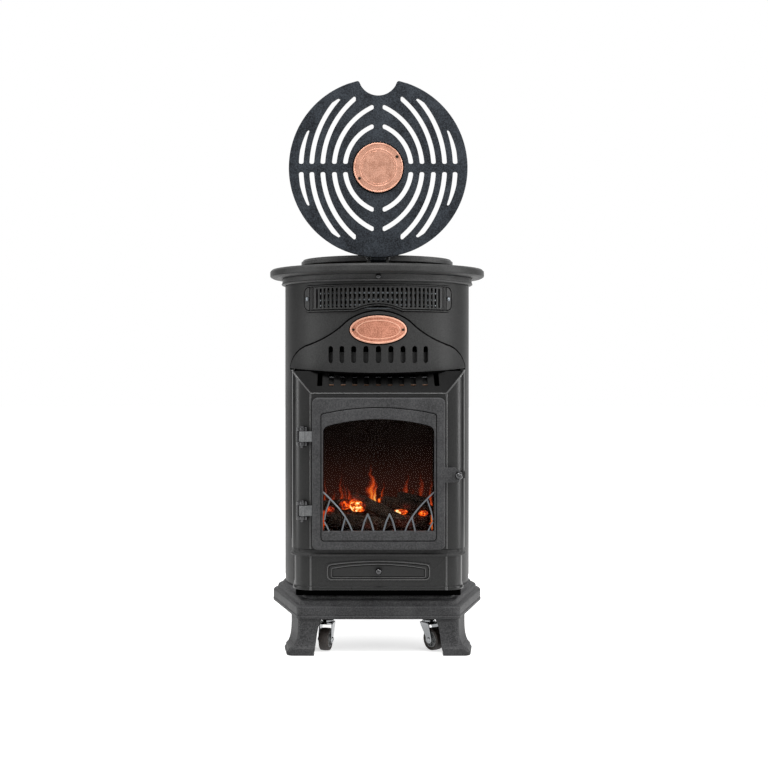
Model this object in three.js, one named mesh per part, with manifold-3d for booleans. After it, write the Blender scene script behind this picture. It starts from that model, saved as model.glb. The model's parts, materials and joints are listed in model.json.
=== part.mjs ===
// A free-standing potbelly stove: a round drum with a glazed fire bay, a cast plinth on legs and
// castors, and a slotted trivet that stands up on a hinge above the hob. Millimetres, +Z up, the
// front faces -Y, and the floor is z = 0. The drum's axis is x = 0, y = 0 until the last lines
// centre the stove over its origin.
import * as THREE from "three";
import { mergeVertices } from "three/addons/utils/BufferGeometryUtils.js";
import Module from "manifold-3d";

// ---------------------------------------------------------------- driving dimensions
const GAP = 0.3; // clearance between pieces that are fixed to each other
const RUN = 0.6; // clearance beside a piece that turns or slides
const SHEET = 2; // steel sheet of the drum, bay and firebox
const FACETS = 60; // flat sides of each large round shell
const ROUND = 6; // steps in a small arc

// Heights, one on top of the other
const LEG_HEIGHT = 65;
const PLINTH_HEIGHT = 41;
const SPACER_HEIGHT = 13;
const LOWER_HEIGHT = 63; // lower front section, with the drawer
const LEDGE_HEIGHT = 13;
const BAY_HEIGHT = 287;
const HOOD_LIFT = 37; // hood's lip above the bay's top edge
const HOOD_HEIGHT = 115;
const GRILLE_HEIGHT = 50;
const DRUM_MARGIN = 6; // drum above the outlet grille
const COLLAR_HEIGHT = 14;
const RIM_HEIGHT = 18;
const PLATEAU_RISE = 7;
const HOB_HEIGHT = 12;

// Plan sizes
const DRUM_RADIUS = 183;
const COLLAR_OVERHANG = 6;
const RIM_OVERHANG = 30;
const PLATEAU_INSET = 75; // plateau's edge in from the rim's
const PLATEAU_SLOPE = 5; // width of the slope round the plateau
const HOB_OVERHANG = 13;
const BAY_PROJECTION = 27; // bay's front ahead of the drum
const BAY_INSET = 22; // bay's sides inside the drum's sides
const BAY_CORNER = 36;
const RECESS_INSET = 11; // drum's cut edges inside the drum's sides
const PLINTH_FRONT_HALF = 149;
const PLINTH_OVERHANG = 26;

// Legs and castors
const LEG_INNER = 14; // inner face of a leg, in from the plinth's edge
const WHEEL_RADIUS = 21;
const WHEEL_WIDTH = 20;
const WHEEL_CHAMFER = 3;
const CASTOR_INSET_X = 54; // swivel in from the plinth's front corner
const CASTOR_INSET_Y = 52; // swivel in from the plinth's front edge
const CASTOR_TRAIL = 15;
const CASTOR_STEM = 5;
const AXLE = 3;

// Door, window and hinges
const DOOR_THICKNESS = 11.5;
const DOOR_MARGIN = 8; // bay above the door
const DOOR_CORNER = 11;
const WINDOW_BORDER = 20;
const WINDOW_SILL = 34.4;
const WINDOW_HEAD = 39.1;
const WINDOW_ARCH = 10.9;
const GLASS = 4;
const GLASS_LAP = 6;
const PIN = 3;
const PIN_REACH = 18; // hinge pin beyond the door's edge
const STRAP_HEIGHT = 19;
const HINGE_SPREAD = 136;
const LATCH_SET_OUT = 24; // latch spindle beyond the door's edge
const LATCH_HEIGHT = 137;

// Trivet
const TRIVET_RADIUS = 167.4;
const TRIVET_THICKNESS = 7;
const TRIVET_OFFSET = 10; // trivet's back face ahead of its hinge pin
const TRIVET_PIN_RISE = 11; // pin above the rim's top
const TRIVET_RIM = 17.4; // plain border outside the slots
const EAR_BACK = 5; // hinge ears behind the pin
const SLOT_WIDTH = 8.8;
const MEDALLION_RADIUS = 46.5;

// Drawer
const DRAWER_HALF = 97;
const DRAWER_RISE = 17; // drawer front above the drum's foot
const DRAWER_HEIGHT = 32;
const DRAWER_ARCH = 7;
const TRAY_DEPTH = 130;

// ---------------------------------------------------------------- derived sizes
const PLINTH_Z = LEG_HEIGHT;
const PLINTH_TOP = PLINTH_Z + PLINTH_HEIGHT;
const BODY_Z = PLINTH_TOP + SPACER_HEIGHT;
const LEDGE_Z = BODY_Z + LOWER_HEIGHT;
const BAY_Z = LEDGE_Z + LEDGE_HEIGHT;
const BAY_TOP = BAY_Z + BAY_HEIGHT;
const HOOD_Z = BAY_TOP + HOOD_LIFT;
const GRILLE_Z = HOOD_Z + HOOD_HEIGHT;
const GRILLE_TOP = GRILLE_Z + GRILLE_HEIGHT;
const DRUM_TOP = GRILLE_TOP + DRUM_MARGIN;
const RIM_Z = DRUM_TOP + COLLAR_HEIGHT;
const RIM_TOP = RIM_Z + RIM_HEIGHT;
const PLATEAU_Z = RIM_TOP + PLATEAU_RISE;
const HOB_Z = PLATEAU_Z + GAP;
const TRIVET_PIN_Z = RIM_TOP + TRIVET_PIN_RISE;

const DRUM_INNER = DRUM_RADIUS - SHEET;
const COLLAR_RADIUS = DRUM_RADIUS + COLLAR_OVERHANG;
const RIM_RADIUS = DRUM_RADIUS + RIM_OVERHANG;
const PLATEAU_RADIUS = RIM_RADIUS - PLATEAU_INSET;
const HOB_RADIUS = PLATEAU_RADIUS + HOB_OVERHANG;
const BAY_FRONT = DRUM_RADIUS + BAY_PROJECTION;
const BAY_SIDE = DRUM_RADIUS - BAY_INSET;
const BAY_FLAT = BAY_SIDE - BAY_CORNER; // half the flat front
const CHEEK_TOP = BAY_TOP + 1.2 * BAY_CORNER; // top of the bay's sides
const PLINTH_FRONT = BAY_FRONT - 5;
const PLINTH_SIDE = DRUM_RADIUS + PLINTH_OVERHANG;
const CASTOR_X = PLINTH_FRONT_HALF - CASTOR_INSET_X;
const CASTOR_Y = PLINTH_FRONT - CASTOR_INSET_Y;

const DOOR_HALF = BAY_FLAT - 3;
const DOOR_BACK = -BAY_FRONT - GAP;
const DOOR_FACE = DOOR_BACK - DOOR_THICKNESS;
const DOOR_Z = BAY_Z + GAP;
const DOOR_TOP = BAY_TOP - DOOR_MARGIN;
const WINDOW_HALF = DOOR_HALF - WINDOW_BORDER;
const WINDOW_Z = DOOR_Z + WINDOW_SILL;
const WINDOW_TOP = DOOR_TOP - WINDOW_HEAD;
const HINGE_X = -DOOR_HALF - PIN_REACH;
const HINGE_Y = DOOR_FACE + 6;
const HINGE_MIDDLE = (DOOR_Z + DOOR_TOP) / 2;
const LATCH_X = DOOR_HALF + LATCH_SET_OUT;
const LATCH_Z = DOOR_Z + LATCH_HEIGHT;

const FIRE_HALF = WINDOW_HALF + 6; // inside of the firebox
const FIRE_FLOOR = BAY_Z + SHEET;
const FIRE_TOP = DOOR_TOP - 6;
const FIRE_BACK = -30;
const HEATER_HALF = 108;
const DUCT_REACH = Math.sqrt(DRUM_INNER ** 2 - HEATER_HALF ** 2); // duct's side walls meet the drum here
const FAN_Y = -DUCT_REACH + 53.75;
const FAN_Z = GRILLE_Z + 9;
const FAN_RADIUS = 24;
const SPINDLE_Y = FIRE_BACK - 16;
const SPINDLE_Z = FIRE_FLOOR + 40;
const TRIVET_PIN_Y = -(PLATEAU_RADIUS + PLATEAU_SLOPE + EAR_BACK + 2);
const DISC_Z = TRIVET_PIN_Z + 2.5 + TRIVET_RADIUS;
const DISC_BACK = TRIVET_PIN_Y - TRIVET_OFFSET;

// ---------------------------------------------------------------- materials
const finish = (color, roughness, metalness, opacity = 1) =>
  new THREE.MeshStandardMaterial({ color, roughness, metalness, opacity, transparent: opacity < 1 });
const CAST_IRON = finish(0x2f3032, 0.7, 0.35);
const DRUM_PAINT = finish(0x37383a, 0.6, 0.3);
const DOOR_PAINT = finish(0x46474a, 0.65, 0.35);
const DARK_SHEET = finish(0x19191a, 0.85, 0.2);
const COPPER = finish(0xd9a183, 0.35, 0.9);
const STEEL = finish(0xa9aaac, 0.35, 0.9);
const CHROME = finish(0xd0d2d4, 0.12, 1);
const WHEEL_RUBBER = finish(0x1f1b18, 0.6, 0);
const DOOR_GLASS = finish(0x181614, 0.1, 0, 0.35);
const FLAME_FILM = finish(0x5a3a2a, 0.6, 0);
const EMBERS = finish(0x4a2413, 0.9, 0);
const LOG_BARK = finish(0x352820, 0.95, 0);
const PLASTIC = finish(0x151516, 0.5, 0);
const CERAMIC = finish(0xb9b2a4, 0.8, 0);

// ---------------------------------------------------------------- shapes and solids
const wasm = await Module();
wasm.setup();
const rad = THREE.MathUtils.degToRad;
const FOLD = (2 * Math.PI) / FACETS;
const stove = new THREE.Group();

// Adds one named piece of the stove.
function piece(name, geometry, material, parent = stove) {
  const mesh = new THREE.Mesh(geometry, material);
  mesh.name = name;
  parent.add(mesh);
  return mesh;
}

// A closed geometry as a solid: only positions, shared vertices merged, no collapsed triangles.
function solid(geometry) {
  const bare = geometry.index ? geometry.toNonIndexed() : geometry.clone();
  bare.deleteAttribute("normal");
  bare.deleteAttribute("uv");
  const merged = mergeVertices(bare, 1e-4);
  const corners = [];
  for (let i = 0; i < merged.index.count; i += 3) {
    const [a, b, c] = [0, 1, 2].map((j) => merged.index.getX(i + j));
    if (a !== b && b !== c && c !== a) corners.push(a, b, c);
  }
  const vertProperties = merged.attributes.position.array;
  const triVerts = new Uint32Array(corners);
  return new wasm.Manifold(new wasm.Mesh({ numProp: 3, vertProperties, triVerts }));
}

function geometryOf(made) {
  const { vertProperties, triVerts } = made.getMesh();
  return new THREE.BufferGeometry()
    .setAttribute("position", new THREE.BufferAttribute(vertProperties, 3))
    .setIndex(new THREE.BufferAttribute(triVerts, 1));
}

const join = (...pieces) => geometryOf(pieces.map(solid).reduce((a, b) => a.add(b)));
const clip = (first, second) => geometryOf(solid(first).intersect(solid(second)));
const cut = (first, ...tools) =>
  geometryOf(tools.map(solid).reduce((a, b) => a.subtract(b), solid(first)));

const box = (x0, x1, y0, y1, z0, z1) =>
  new THREE.BoxGeometry(x1 - x0, y1 - y0, z1 - z0).translate((x0 + x1) / 2, (y0 + y1) / 2, (z0 + z1) / 2);

const outline = (points) => new THREE.Shape(points.map(([x, y]) => new THREE.Vector2(x, y)));

const extruded = (shape, depth) =>
  new THREE.ExtrudeGeometry(shape, { depth, bevelEnabled: false, curveSegments: ROUND });

// A plan shape (x, y) standing from z0 to z1.
const prism = (shape, z0, z1) => extruded(shape, z1 - z0).translate(0, 0, z0);

// An elevation shape (x, z) that runs from y = back forward to y = front, with holes through it.
function upright(shape, back, front, holes = []) {
  const raised = (face, past) =>
    extruded(face, back - front + 2 * past).rotateX(Math.PI / 2).translate(0, back + past, 0);
  return cut(raised(shape, 0), ...holes.map((hole) => raised(hole, 1)));
}

// A side profile (y, z) that runs from x0 to x1.
const sideways = (shape, x0, x1) =>
  extruded(shape, x1 - x0).rotateX(Math.PI / 2).rotateZ(Math.PI / 2).translate(x0, 0, 0);

// A round bar between two points.
function rod(radius, from, to, sides = 12) {
  const [a, b] = [from, to].map((p) => new THREE.Vector3(...p));
  const direction = b.clone().sub(a).normalize();
  const turn = new THREE.Quaternion().setFromUnitVectors(THREE.Object3D.DEFAULT_UP, direction);
  const middle = a.clone().add(b).multiplyScalar(0.5);
  return new THREE.CylinderGeometry(radius, radius, a.distanceTo(b), sides)
    .applyQuaternion(turn)
    .translate(middle.x, middle.y, middle.z);
}

// A profile of [radius, height] pairs turned about the vertical axis.
const turned = (profile, sides = FACETS) =>
  new THREE.LatheGeometry(profile.map(([r, z]) => new THREE.Vector2(r, z)), sides).rotateX(Math.PI / 2);

// The same profile turned about an axis that runs forward along -Y from the point [x, y, z].
const turnedForward = (profile, [x, y, z], sides = 16) =>
  turned(profile, sides).rotateX(Math.PI / 2).translate(x, y, z);

const arcPoints = (x, y, radius, from, to, steps = ROUND) =>
  Array.from({ length: steps + 1 }, (_, i) => {
    const angle = rad(from + ((to - from) * i) / steps);
    return [x + radius * Math.cos(angle), y + radius * Math.sin(angle)];
  });

// Closes sections of equal point count into a solid. Each section runs anticlockwise, seen from
// the last one, and flatten gives a section's points in the plane of its end cap.
function loft(sections, flatten = ([x, y]) => [x, y]) {
  const positions = [];
  const add = (...corners) => corners.forEach((p) => positions.push(...p));
  const count = sections[0].length;
  sections.slice(1).forEach((upper, level) => {
    const lower = sections[level];
    for (let i = 0; i < count; i++) {
      const next = (i + 1) % count;
      add(lower[i], lower[next], upper[next]);
      add(lower[i], upper[next], upper[i]);
    }
  });
  const last = sections.at(-1);
  const flat = last.map((p) => new THREE.Vector2(...flatten(p)));
  for (const [a, b, c] of THREE.ShapeUtils.triangulateShape(flat, [])) {
    add(sections[0][a], sections[0][c], sections[0][b]);
    add(last[a], last[b], last[c]);
  }
  return new THREE.BufferGeometry().setAttribute("position", new THREE.Float32BufferAttribute(positions, 3));
}

// ---------------------------------------------------------------- sheets wrapped round the drum
// A sheet is a list of stations [x, low, high]: a length along the drum's surface, measured from
// the middle of the front, and the sheet's lower and upper edges there.
const along = (degrees) => rad(degrees) * DRUM_RADIUS;

// Radius of a polygon with FACETS sides and corners at r, in the direction phi.
const facetRadius = (r, phi) =>
  (r * Math.cos(FOLD / 2)) / Math.cos(phi - (Math.floor(phi / FOLD) + 0.5) * FOLD);

// The stations with another one added wherever the sheet crosses a fold of the drum.
function creased(stations) {
  const step = FOLD * DRUM_RADIUS;
  return stations.flatMap((from, i) => {
    const to = stations[i + 1] ?? from;
    const between = [from];
    for (let k = Math.floor(from[0] / step + 0.01) + 1; k * step < to[0] - 0.01 * step; k++) {
      const t = (k * step - from[0]) / (to[0] - from[0]);
      between.push([0, 1, 2].map((j) => from[j] + t * (to[j] - from[j])));
    }
    return between;
  });
}

// A sheet folded round the drum's axis between two radii, with holes that are sheets too.
function wrapped(stations, inner, outer, holes = []) {
  const folded = (sheet, past) =>
    loft(
      creased(sheet).map(([x, low, high]) => {
        const phi = x / DRUM_RADIUS;
        const at = (r, z) => [facetRadius(r, phi) * Math.sin(phi), -facetRadius(r, phi) * Math.cos(phi), z];
        return [at(inner - past, low), at(inner - past, high), at(outer + past, high), at(outer + past, low)];
      }),
      ([x, y, z]) => [-Math.hypot(x, y), z],
    );
  return cut(folded(stations, 0), ...holes.map((hole) => folded(hole, 1)));
}

// Stations of a rectangle whose corners are rounded, or cut to half circles when corner is half the width.
function sheet(x0, x1, low, high, corner = 0, steps = 3) {
  if (!corner) return [[x0, low, high], [x1, low, high]];
  const end = (x, side) =>
    Array.from({ length: steps + 1 }, (_, i) => {
      const angle = rad((90 * i) / steps);
      const drop = corner * (1 - Math.sin(angle));
      return [x + side * corner * (1 - Math.cos(angle)), low + drop, high - drop];
    });
  return [...end(x0, 1), ...end(x1, -1).reverse()];
}

// A rectangle with rounded corners.
function rectangle(x0, x1, y0, y1, corner = 0) {
  if (!corner) return outline([[x0, y0], [x1, y0], [x1, y1], [x0, y1]]);
  return outline([
    ...arcPoints(x1 - corner, y0 + corner, corner, -90, 0, 3),
    ...arcPoints(x1 - corner, y1 - corner, corner, 0, 90, 3),
    ...arcPoints(x0 + corner, y1 - corner, corner, 90, 180, 3),
    ...arcPoints(x0 + corner, y0 + corner, corner, 180, 270, 3),
  ]);
}

// ---------------------------------------------------------------- plinth, legs and castors
const HEXAGON = [
  [-PLINTH_FRONT_HALF, -PLINTH_FRONT],
  [PLINTH_FRONT_HALF, -PLINTH_FRONT],
  [PLINTH_SIDE, 0],
  [PLINTH_FRONT_HALF, PLINTH_FRONT],
  [-PLINTH_FRONT_HALF, PLINTH_FRONT],
  [-PLINTH_SIDE, 0],
].map(([x, y]) => new THREE.Vector2(x, y));

// Unit vectors along the two edges that meet at corner i, and the corner moved inwards.
function hexagonCorner(i, inset) {
  const at = HEXAGON[i];
  const next = HEXAGON[(i + 1) % 6].clone().sub(at).normalize();
  const last = HEXAGON[(i + 5) % 6].clone().sub(at).normalize();
  const shift = inset / Math.abs(next.cross(last));
  return { next, last, point: at.clone().addScaledVector(next, shift).addScaledVector(last, shift) };
}

// The plinth's hexagon moved inwards, with each corner rounded by a short curve.
function hexagon(inset, corner = 9) {
  const points = HEXAGON.flatMap((_, i) => {
    const { next, last, point } = hexagonCorner(i, inset);
    const [start, end] = [last, next].map((edge) => point.clone().addScaledVector(edge, corner));
    return new THREE.QuadraticBezierCurve(start, point, end).getPoints(3);
  });
  return new THREE.Shape(points);
}

const CASTORS = [
  ["front_left", -1, -1, -12],
  ["front_right", 1, -1, 37],
  ["rear_left", -1, 1, 160],
  ["rear_right", 1, 1, 205],
];
const BOSS_RADIUS = 15;
const BOSS_Z = PLINTH_Z + 1;
const STEM_TOP = PLINTH_TOP - 15;

function basePlinth() {
  const skirtTop = PLINTH_Z + 24;
  const stepTop = skirtTop + 10;
  const body = join(
    prism(hexagon(0), PLINTH_Z, skirtTop),
    prism(hexagon(8), skirtTop - 1, stepTop),
    prism(hexagon(20), stepTop - 1, PLINTH_TOP),
  );
  const hollow = join(
    prism(hexagon(6), PLINTH_Z - 1, skirtTop - 5),
    prism(hexagon(LEG_INNER), skirtTop - 6, PLINTH_TOP - 9),
  );
  const centres = CASTORS.map(([, x, y]) => [x * CASTOR_X, y * CASTOR_Y]);
  const posts = (radius, low, high) => centres.map((at) => rod(radius, [...at, low], [...at, high]));
  const bosses = posts(BOSS_RADIUS, BOSS_Z, PLINTH_TOP - 8);
  return cut(join(cut(body, hollow), ...bosses), ...posts(CASTOR_STEM + RUN, BOSS_Z - 1, STEM_TOP + 1));
}

// A corner leg: an angle in plan that flares outwards into a moulded foot.
function leg() {
  const section = (z, inset, reach) => {
    const { next, last, point } = hexagonCorner(0, inset);
    const inner = hexagonCorner(0, LEG_INNER);
    const front = point.clone().addScaledVector(next, reach);
    const side = point.clone().addScaledVector(last, reach);
    const frontInner = new THREE.Vector2(front.x, inner.point.y);
    const inward = new THREE.Vector2(last.y, -last.x);
    const sideInner = side.clone().addScaledVector(inward, LEG_INNER - inset);
    return [side, point, front, frontInner, inner.point, sideInner].map(({ x, y }) => [x, y, z]);
  };
  return loft([
    section(0, -10, 46),
    section(7, -10, 46),
    section(9, -7.5, 44),
    section(12, -7.5, 44),
    section(17, -3, 42),
    section(25, 3, 40),
    section(PLINTH_Z - GAP, 4, 40),
  ]);
}

// A castor in its own frame: the swivel axis is z, and the wheel trails towards -Y.
const WHEEL_Z = WHEEL_RADIUS + GAP;
const FORK_TOP = 2 * WHEEL_RADIUS + 9;
const CHEEK_IN = WHEEL_WIDTH / 2 + RUN;

function castorFork() {
  const cheekOut = CHEEK_IN + 2.5;
  const cheek = outline([
    [12, FORK_TOP],
    [-14, FORK_TOP],
    ...arcPoints(-CASTOR_TRAIL, WHEEL_Z, 7, 170, 360, 5),
  ]);
  return join(
    sideways(cheek, -cheekOut, -CHEEK_IN),
    sideways(cheek, CHEEK_IN, cheekOut),
    box(-cheekOut, cheekOut, -14, 12, FORK_TOP - 4, FORK_TOP),
    rod(12, [0, 0, FORK_TOP - 1], [0, 0, FORK_TOP + 3]),
    rod(CASTOR_STEM, [0, 0, FORK_TOP], [0, 0, STEM_TOP]),
    rod(AXLE, [-cheekOut, -CASTOR_TRAIL, WHEEL_Z], [cheekOut, -CASTOR_TRAIL, WHEEL_Z], 8),
  );
}

function castorWheel() {
  const side = WHEEL_WIDTH / 2;
  const shoulder = side - WHEEL_CHAMFER - 1;
  const bore = AXLE + GAP;
  const profile = [
    [bore, -side], [WHEEL_RADIUS - WHEEL_CHAMFER, -side], [WHEEL_RADIUS, -shoulder], [WHEEL_RADIUS, shoulder],
    [WHEEL_RADIUS - WHEEL_CHAMFER, side], [bore, side], [bore, -side],
  ];
  return turned(profile, 18).rotateY(Math.PI / 2).translate(0, -CASTOR_TRAIL, WHEEL_Z);
}

function addBase() {
  piece("base_plinth", basePlinth(), CAST_IRON);
  for (const [place, x, y, turn] of CASTORS) {
    const foot = piece("leg_" + place, leg(), CAST_IRON);
    foot.scale.set(-x, -y, 1);
    const castor = new THREE.Group();
    castor.position.set(x * CASTOR_X, y * CASTOR_Y, 0);
    castor.rotation.z = rad(turn);
    piece("castor_fork_" + place, castorFork(), CHROME, castor);
    piece("castor_wheel_" + place, castorWheel(), WHEEL_RUBBER, castor);
    stove.add(castor);
  }
  piece("plinth_spacer", plinthSpacer(), DARK_SHEET);
}

// The plate between the plinth and the body, which carries the drawer's two rails.
function plinthSpacer() {
  const [low, high] = [PLINTH_TOP + GAP, BODY_Z - GAP];
  const edge = DRUM_RADIUS - 0.5;
  const railAt = TRAY_HALF - 20;
  const rails = [-railAt, railAt].map((x) =>
    box(x - 7, x + 7, -BAY_FRONT + 22, 40, BODY_Z - 2, TRAY_Z - GAP),
  );
  const front = prism(bayShape(LOWER_INSET + 1, -BAY_BACK), low, high);
  return join(turned([[0, low], [edge, low], [edge, high], [0, high]]), front, ...rails);
}

// ---------------------------------------------------------------- drum and top
function drumShell() {
  const shell = turned([
    [DRUM_INNER, BODY_Z], [DRUM_RADIUS, BODY_Z], [DRUM_RADIUS, DRUM_TOP], [DRUM_INNER, DRUM_TOP],
    [DRUM_INNER, BODY_Z],
  ]);
  const side = DRUM_RADIUS - RECESS_INSET;
  const back = -Math.sqrt(DRUM_RADIUS ** 2 - side ** 2);
  const outside = -DRUM_RADIUS - 5;
  const ventHalf = 107;
  const grilleHalf = DRUM_RADIUS * Math.sin(rad(39.6));
  return cut(
    shell,
    box(-side, side, outside, back, BODY_Z - 1, HOOD_Z + 11),
    box(-ventHalf, ventHalf, outside, -100, HOOD_Z + 10, HOOD_Z + 56),
    box(-grilleHalf, grilleHalf, outside, -100, GRILLE_Z + 5, GRILLE_TOP - 3),
    box(-COVER_HALF + 14, COVER_HALF - 14, 100, DRUM_RADIUS + 5, COVER_Z + 14, COVER_TOP - 14),
    rod(GLAND_RADIUS + GAP, [0, 100, GLAND_Z], [0, DRUM_RADIUS + 5, GLAND_Z]),
    ...screwHoles(),
  );
}

const COVER_HALF = 108;
const COVER_Z = BODY_Z + 90;
const COVER_TOP = DRUM_TOP - 60;
const GLAND_RADIUS = 8;
const GLAND_Z = BODY_Z + 45;
const GRILLE_SCREW = 46.3;

const onDrum = (radius, degrees, z) => [
  radius * Math.sin(rad(degrees)), -radius * Math.cos(rad(degrees)), z,
];
const GRILLE_MIDDLE = GRILLE_Z + GRILLE_HEIGHT / 2;
const screwHoles = () =>
  [-GRILLE_SCREW, GRILLE_SCREW].map((at) =>
    rod(2 + GAP, onDrum(DRUM_INNER - 5, at, GRILLE_MIDDLE), onDrum(DRUM_RADIUS + 9, at, GRILLE_MIDDLE), 8),
  );

// A dome-headed screw that points at the drum's axis.
function grilleScrew(at) {
  const head = turned([[0, 0], [4.5, 0], [3.6, 1.6], [0, 2.4]], 12)
    .rotateX(Math.PI / 2)
    .rotateZ(rad(at))
    .translate(...onDrum(DRUM_RADIUS + 3 + 2 * GAP, at, GRILLE_MIDDLE));
  const ends = [DRUM_INNER - 4, DRUM_RADIUS + 5].map((radius) => onDrum(radius, at, GRILLE_MIDDLE));
  return join(head, rod(2, ...ends, 8));
}

function collarRing() {
  const inner = DRUM_INNER - 5;
  const z = DRUM_TOP + GAP;
  const ring = turned([
    [inner, z], [COLLAR_RADIUS + 0.5, z], [COLLAR_RADIUS + 2, z + 2], [COLLAR_RADIUS, z + 5],
    [COLLAR_RADIUS, RIM_Z - GAP], [inner, RIM_Z - GAP], [inner, z],
  ]);
  const stud = turnedForward([[0, 0], [5, 0], [5, 4.4], [3.6, 6], [0, 6.8]],
    [0, -COLLAR_RADIUS + 2, (DRUM_TOP + RIM_Z) / 2 + 1], 12);
  return join(ring, stud);
}

function topPlate() {
  const seat = DRUM_INNER - 7;
  const wall = 8;
  const round = 4;
  return turned([
    [0, PLATEAU_Z - wall], [PLATEAU_RADIUS - 6, PLATEAU_Z - wall], [PLATEAU_RADIUS - 2, RIM_TOP - wall],
    [seat, RIM_TOP - wall], [seat + 2, RIM_Z], [RIM_RADIUS - round, RIM_Z], [RIM_RADIUS, RIM_Z + round],
    [RIM_RADIUS, RIM_TOP - round], [RIM_RADIUS - round, RIM_TOP], [PLATEAU_RADIUS + PLATEAU_SLOPE, RIM_TOP],
    [PLATEAU_RADIUS, PLATEAU_Z], [0, PLATEAU_Z],
  ]);
}

// The hob, with a notch at its front for the trivet's hinge.
function hobDisc() {
  const top = HOB_Z + HOB_HEIGHT;
  const disc = turned([
    [0, HOB_Z], [HOB_RADIUS - 4, HOB_Z], [HOB_RADIUS, HOB_Z + 4], [HOB_RADIUS, top - 4],
    [HOB_RADIUS - 5, top], [0, top],
  ]);
  const half = KNUCKLE_HALF + RUN + EAR + 2.4;
  return cut(disc, box(-half, half, -HOB_RADIUS - 5, TRIVET_PIN_Y + 19, HOB_Z - 1, top + 1));
}

// The grille's slots stand on a low arch at its centre.
function outletGrille() {
  const [pitch, slotHalf, archHalf] = [2.75, 1.8, 14];
  const holes = [];
  for (let i = -14; i <= 14; i++) {
    const at = i * pitch;
    const arch = 10 * Math.max(0, 1 - (at / archHalf) ** 2);
    const x = along(at);
    holes.push(sheet(x - slotHalf, x + slotHalf, GRILLE_Z + 7 + arch, GRILLE_TOP - 5 - arch / 5));
  }
  const frame = sheet(-along(50), along(50), GRILLE_Z, GRILLE_TOP, 7);
  return cut(wrapped(frame, DRUM_RADIUS + GAP, DRUM_RADIUS + GAP + 3, holes), ...screwHoles());
}

// Three guard wires behind the outlet, held by a frame against the drum's inside.
function elementGuard() {
  const wires = [12, 21.7, 34.3].map((height) => GRILLE_Z + height);
  const edges = [GRILLE_Z + 6, ...wires.flatMap((z) => [z - 1.3, z + 1.3]), GRILLE_TOP - 4];
  const holes = [0, 2, 4, 6].map((i) => sheet(-along(39), along(39), edges[i], edges[i + 1]));
  const frame = sheet(-along(41.5), along(41.5), GRILLE_Z + 2, GRILLE_TOP - 1);
  return wrapped(frame, DRUM_INNER - GAP - 2, DRUM_INNER - GAP, holes);
}

// The hood's top line: its share of the hood's height at each angle from the centre.
const HOOD_LINE = [
  [0, 1], [8, 0.965], [16, 0.865], [22.3, 0.722], [28.6, 0.609], [35.4, 0.522], [42.7, 0.456], [46.8, 0.426],
  [51.5, 0.374], [56.8, 0.287], [60.5, 0.191], [62.7, 0.109],
];
const HOOD_LIP_RISE = 8.4; // rise of the hood's lower edge from its centre to its ends
const HOOD_OUTER = DRUM_RADIUS + 7;

// The hood's stations, drawn in by margin all round. The pocket behind its face stops short of its tips.
function hoodStations(margin) {
  const line = margin ? HOOD_LINE.slice(0, -1) : HOOD_LINE;
  const spread = HOOD_LINE.at(-1)[0];
  const half = line.map(([at, share]) => [
    along(at) * (1 - margin / along(60)),
    HOOD_Z + HOOD_LIP_RISE * (at / spread) ** 1.6 + margin,
    HOOD_Z + share * HOOD_HEIGHT - GAP - margin,
  ]);
  return [...half.slice(1).reverse().map(([x, low, high]) => [-x, low, high]), ...half];
}

function hood() {
  const [pitch, slotHalf] = [7, 4.6];
  const slots = [];
  for (let i = -4; i <= 4; i++) {
    const x = along(pitch * i);
    slots.push(sheet(x - slotHalf, x + slotHalf, HOOD_Z + 18, HOOD_Z + 50, slotHalf, 2));
  }
  const plate = wrapped(hoodStations(0), DRUM_RADIUS + GAP, HOOD_OUTER);
  const pocket = wrapped(hoodStations(3), DRUM_RADIUS - 1, HOOD_OUTER - SHEET);
  return cut(cut(plate, pocket), ...slots.map((slot) => wrapped(slot, HOOD_OUTER - 5, HOOD_OUTER + 1)));
}

const BADGE_HALF = 49.8;
const BADGE_RISE = 25.3;

// A bare oval badge with a rivet at each end.
function badge() {
  const z = HOOD_Z + 0.7 * HOOD_HEIGHT;
  const oval = arcPoints(0, 0, 1, 176, 4, 16).map(([across, up]) => [
    across * BADGE_HALF, z - up * BADGE_RISE, z + up * BADGE_RISE,
  ]);
  const plate = wrapped(oval, HOOD_OUTER + GAP, HOOD_OUTER + 2.3);
  const rivets = [-BADGE_HALF + 4.8, BADGE_HALF - 4.8].map((x) => {
    const at = THREE.MathUtils.radToDeg(x / DRUM_RADIUS);
    return rod(2.6, onDrum(HOOD_OUTER + 1.5, at, z), onDrum(HOOD_OUTER + 3.6, at, z), 8);
  });
  return join(plate, ...rivets);
}

function backCover() {
  const [pitch, slotHalf, slotLength] = [22, 5, 70];
  const slots = [];
  for (const z of [COVER_Z + 50, COVER_TOP - 220])
    for (let i = -3; i <= 3; i++)
      slots.push(sheet(i * pitch - slotHalf, i * pitch + slotHalf, z, z + slotLength));
  const panel = sheet(-COVER_HALF, COVER_HALF, COVER_Z, COVER_TOP, 8);
  return wrapped(panel, DRUM_RADIUS + GAP, DRUM_RADIUS + GAP + 1.5, slots).rotateZ(Math.PI);
}

// A cable gland through the drum's rear, with its bore left open.
function cordGland() {
  return turned([
    [3.5, -6], [GLAND_RADIUS, -6], [GLAND_RADIUS, SHEET + GAP], [13, SHEET + GAP], [13, 8], [9, 10], [8, 20],
    [3.5, 20], [3.5, -6],
  ], 16)
    .rotateX(-Math.PI / 2)
    .translate(0, DRUM_INNER, GLAND_Z);
}

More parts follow.
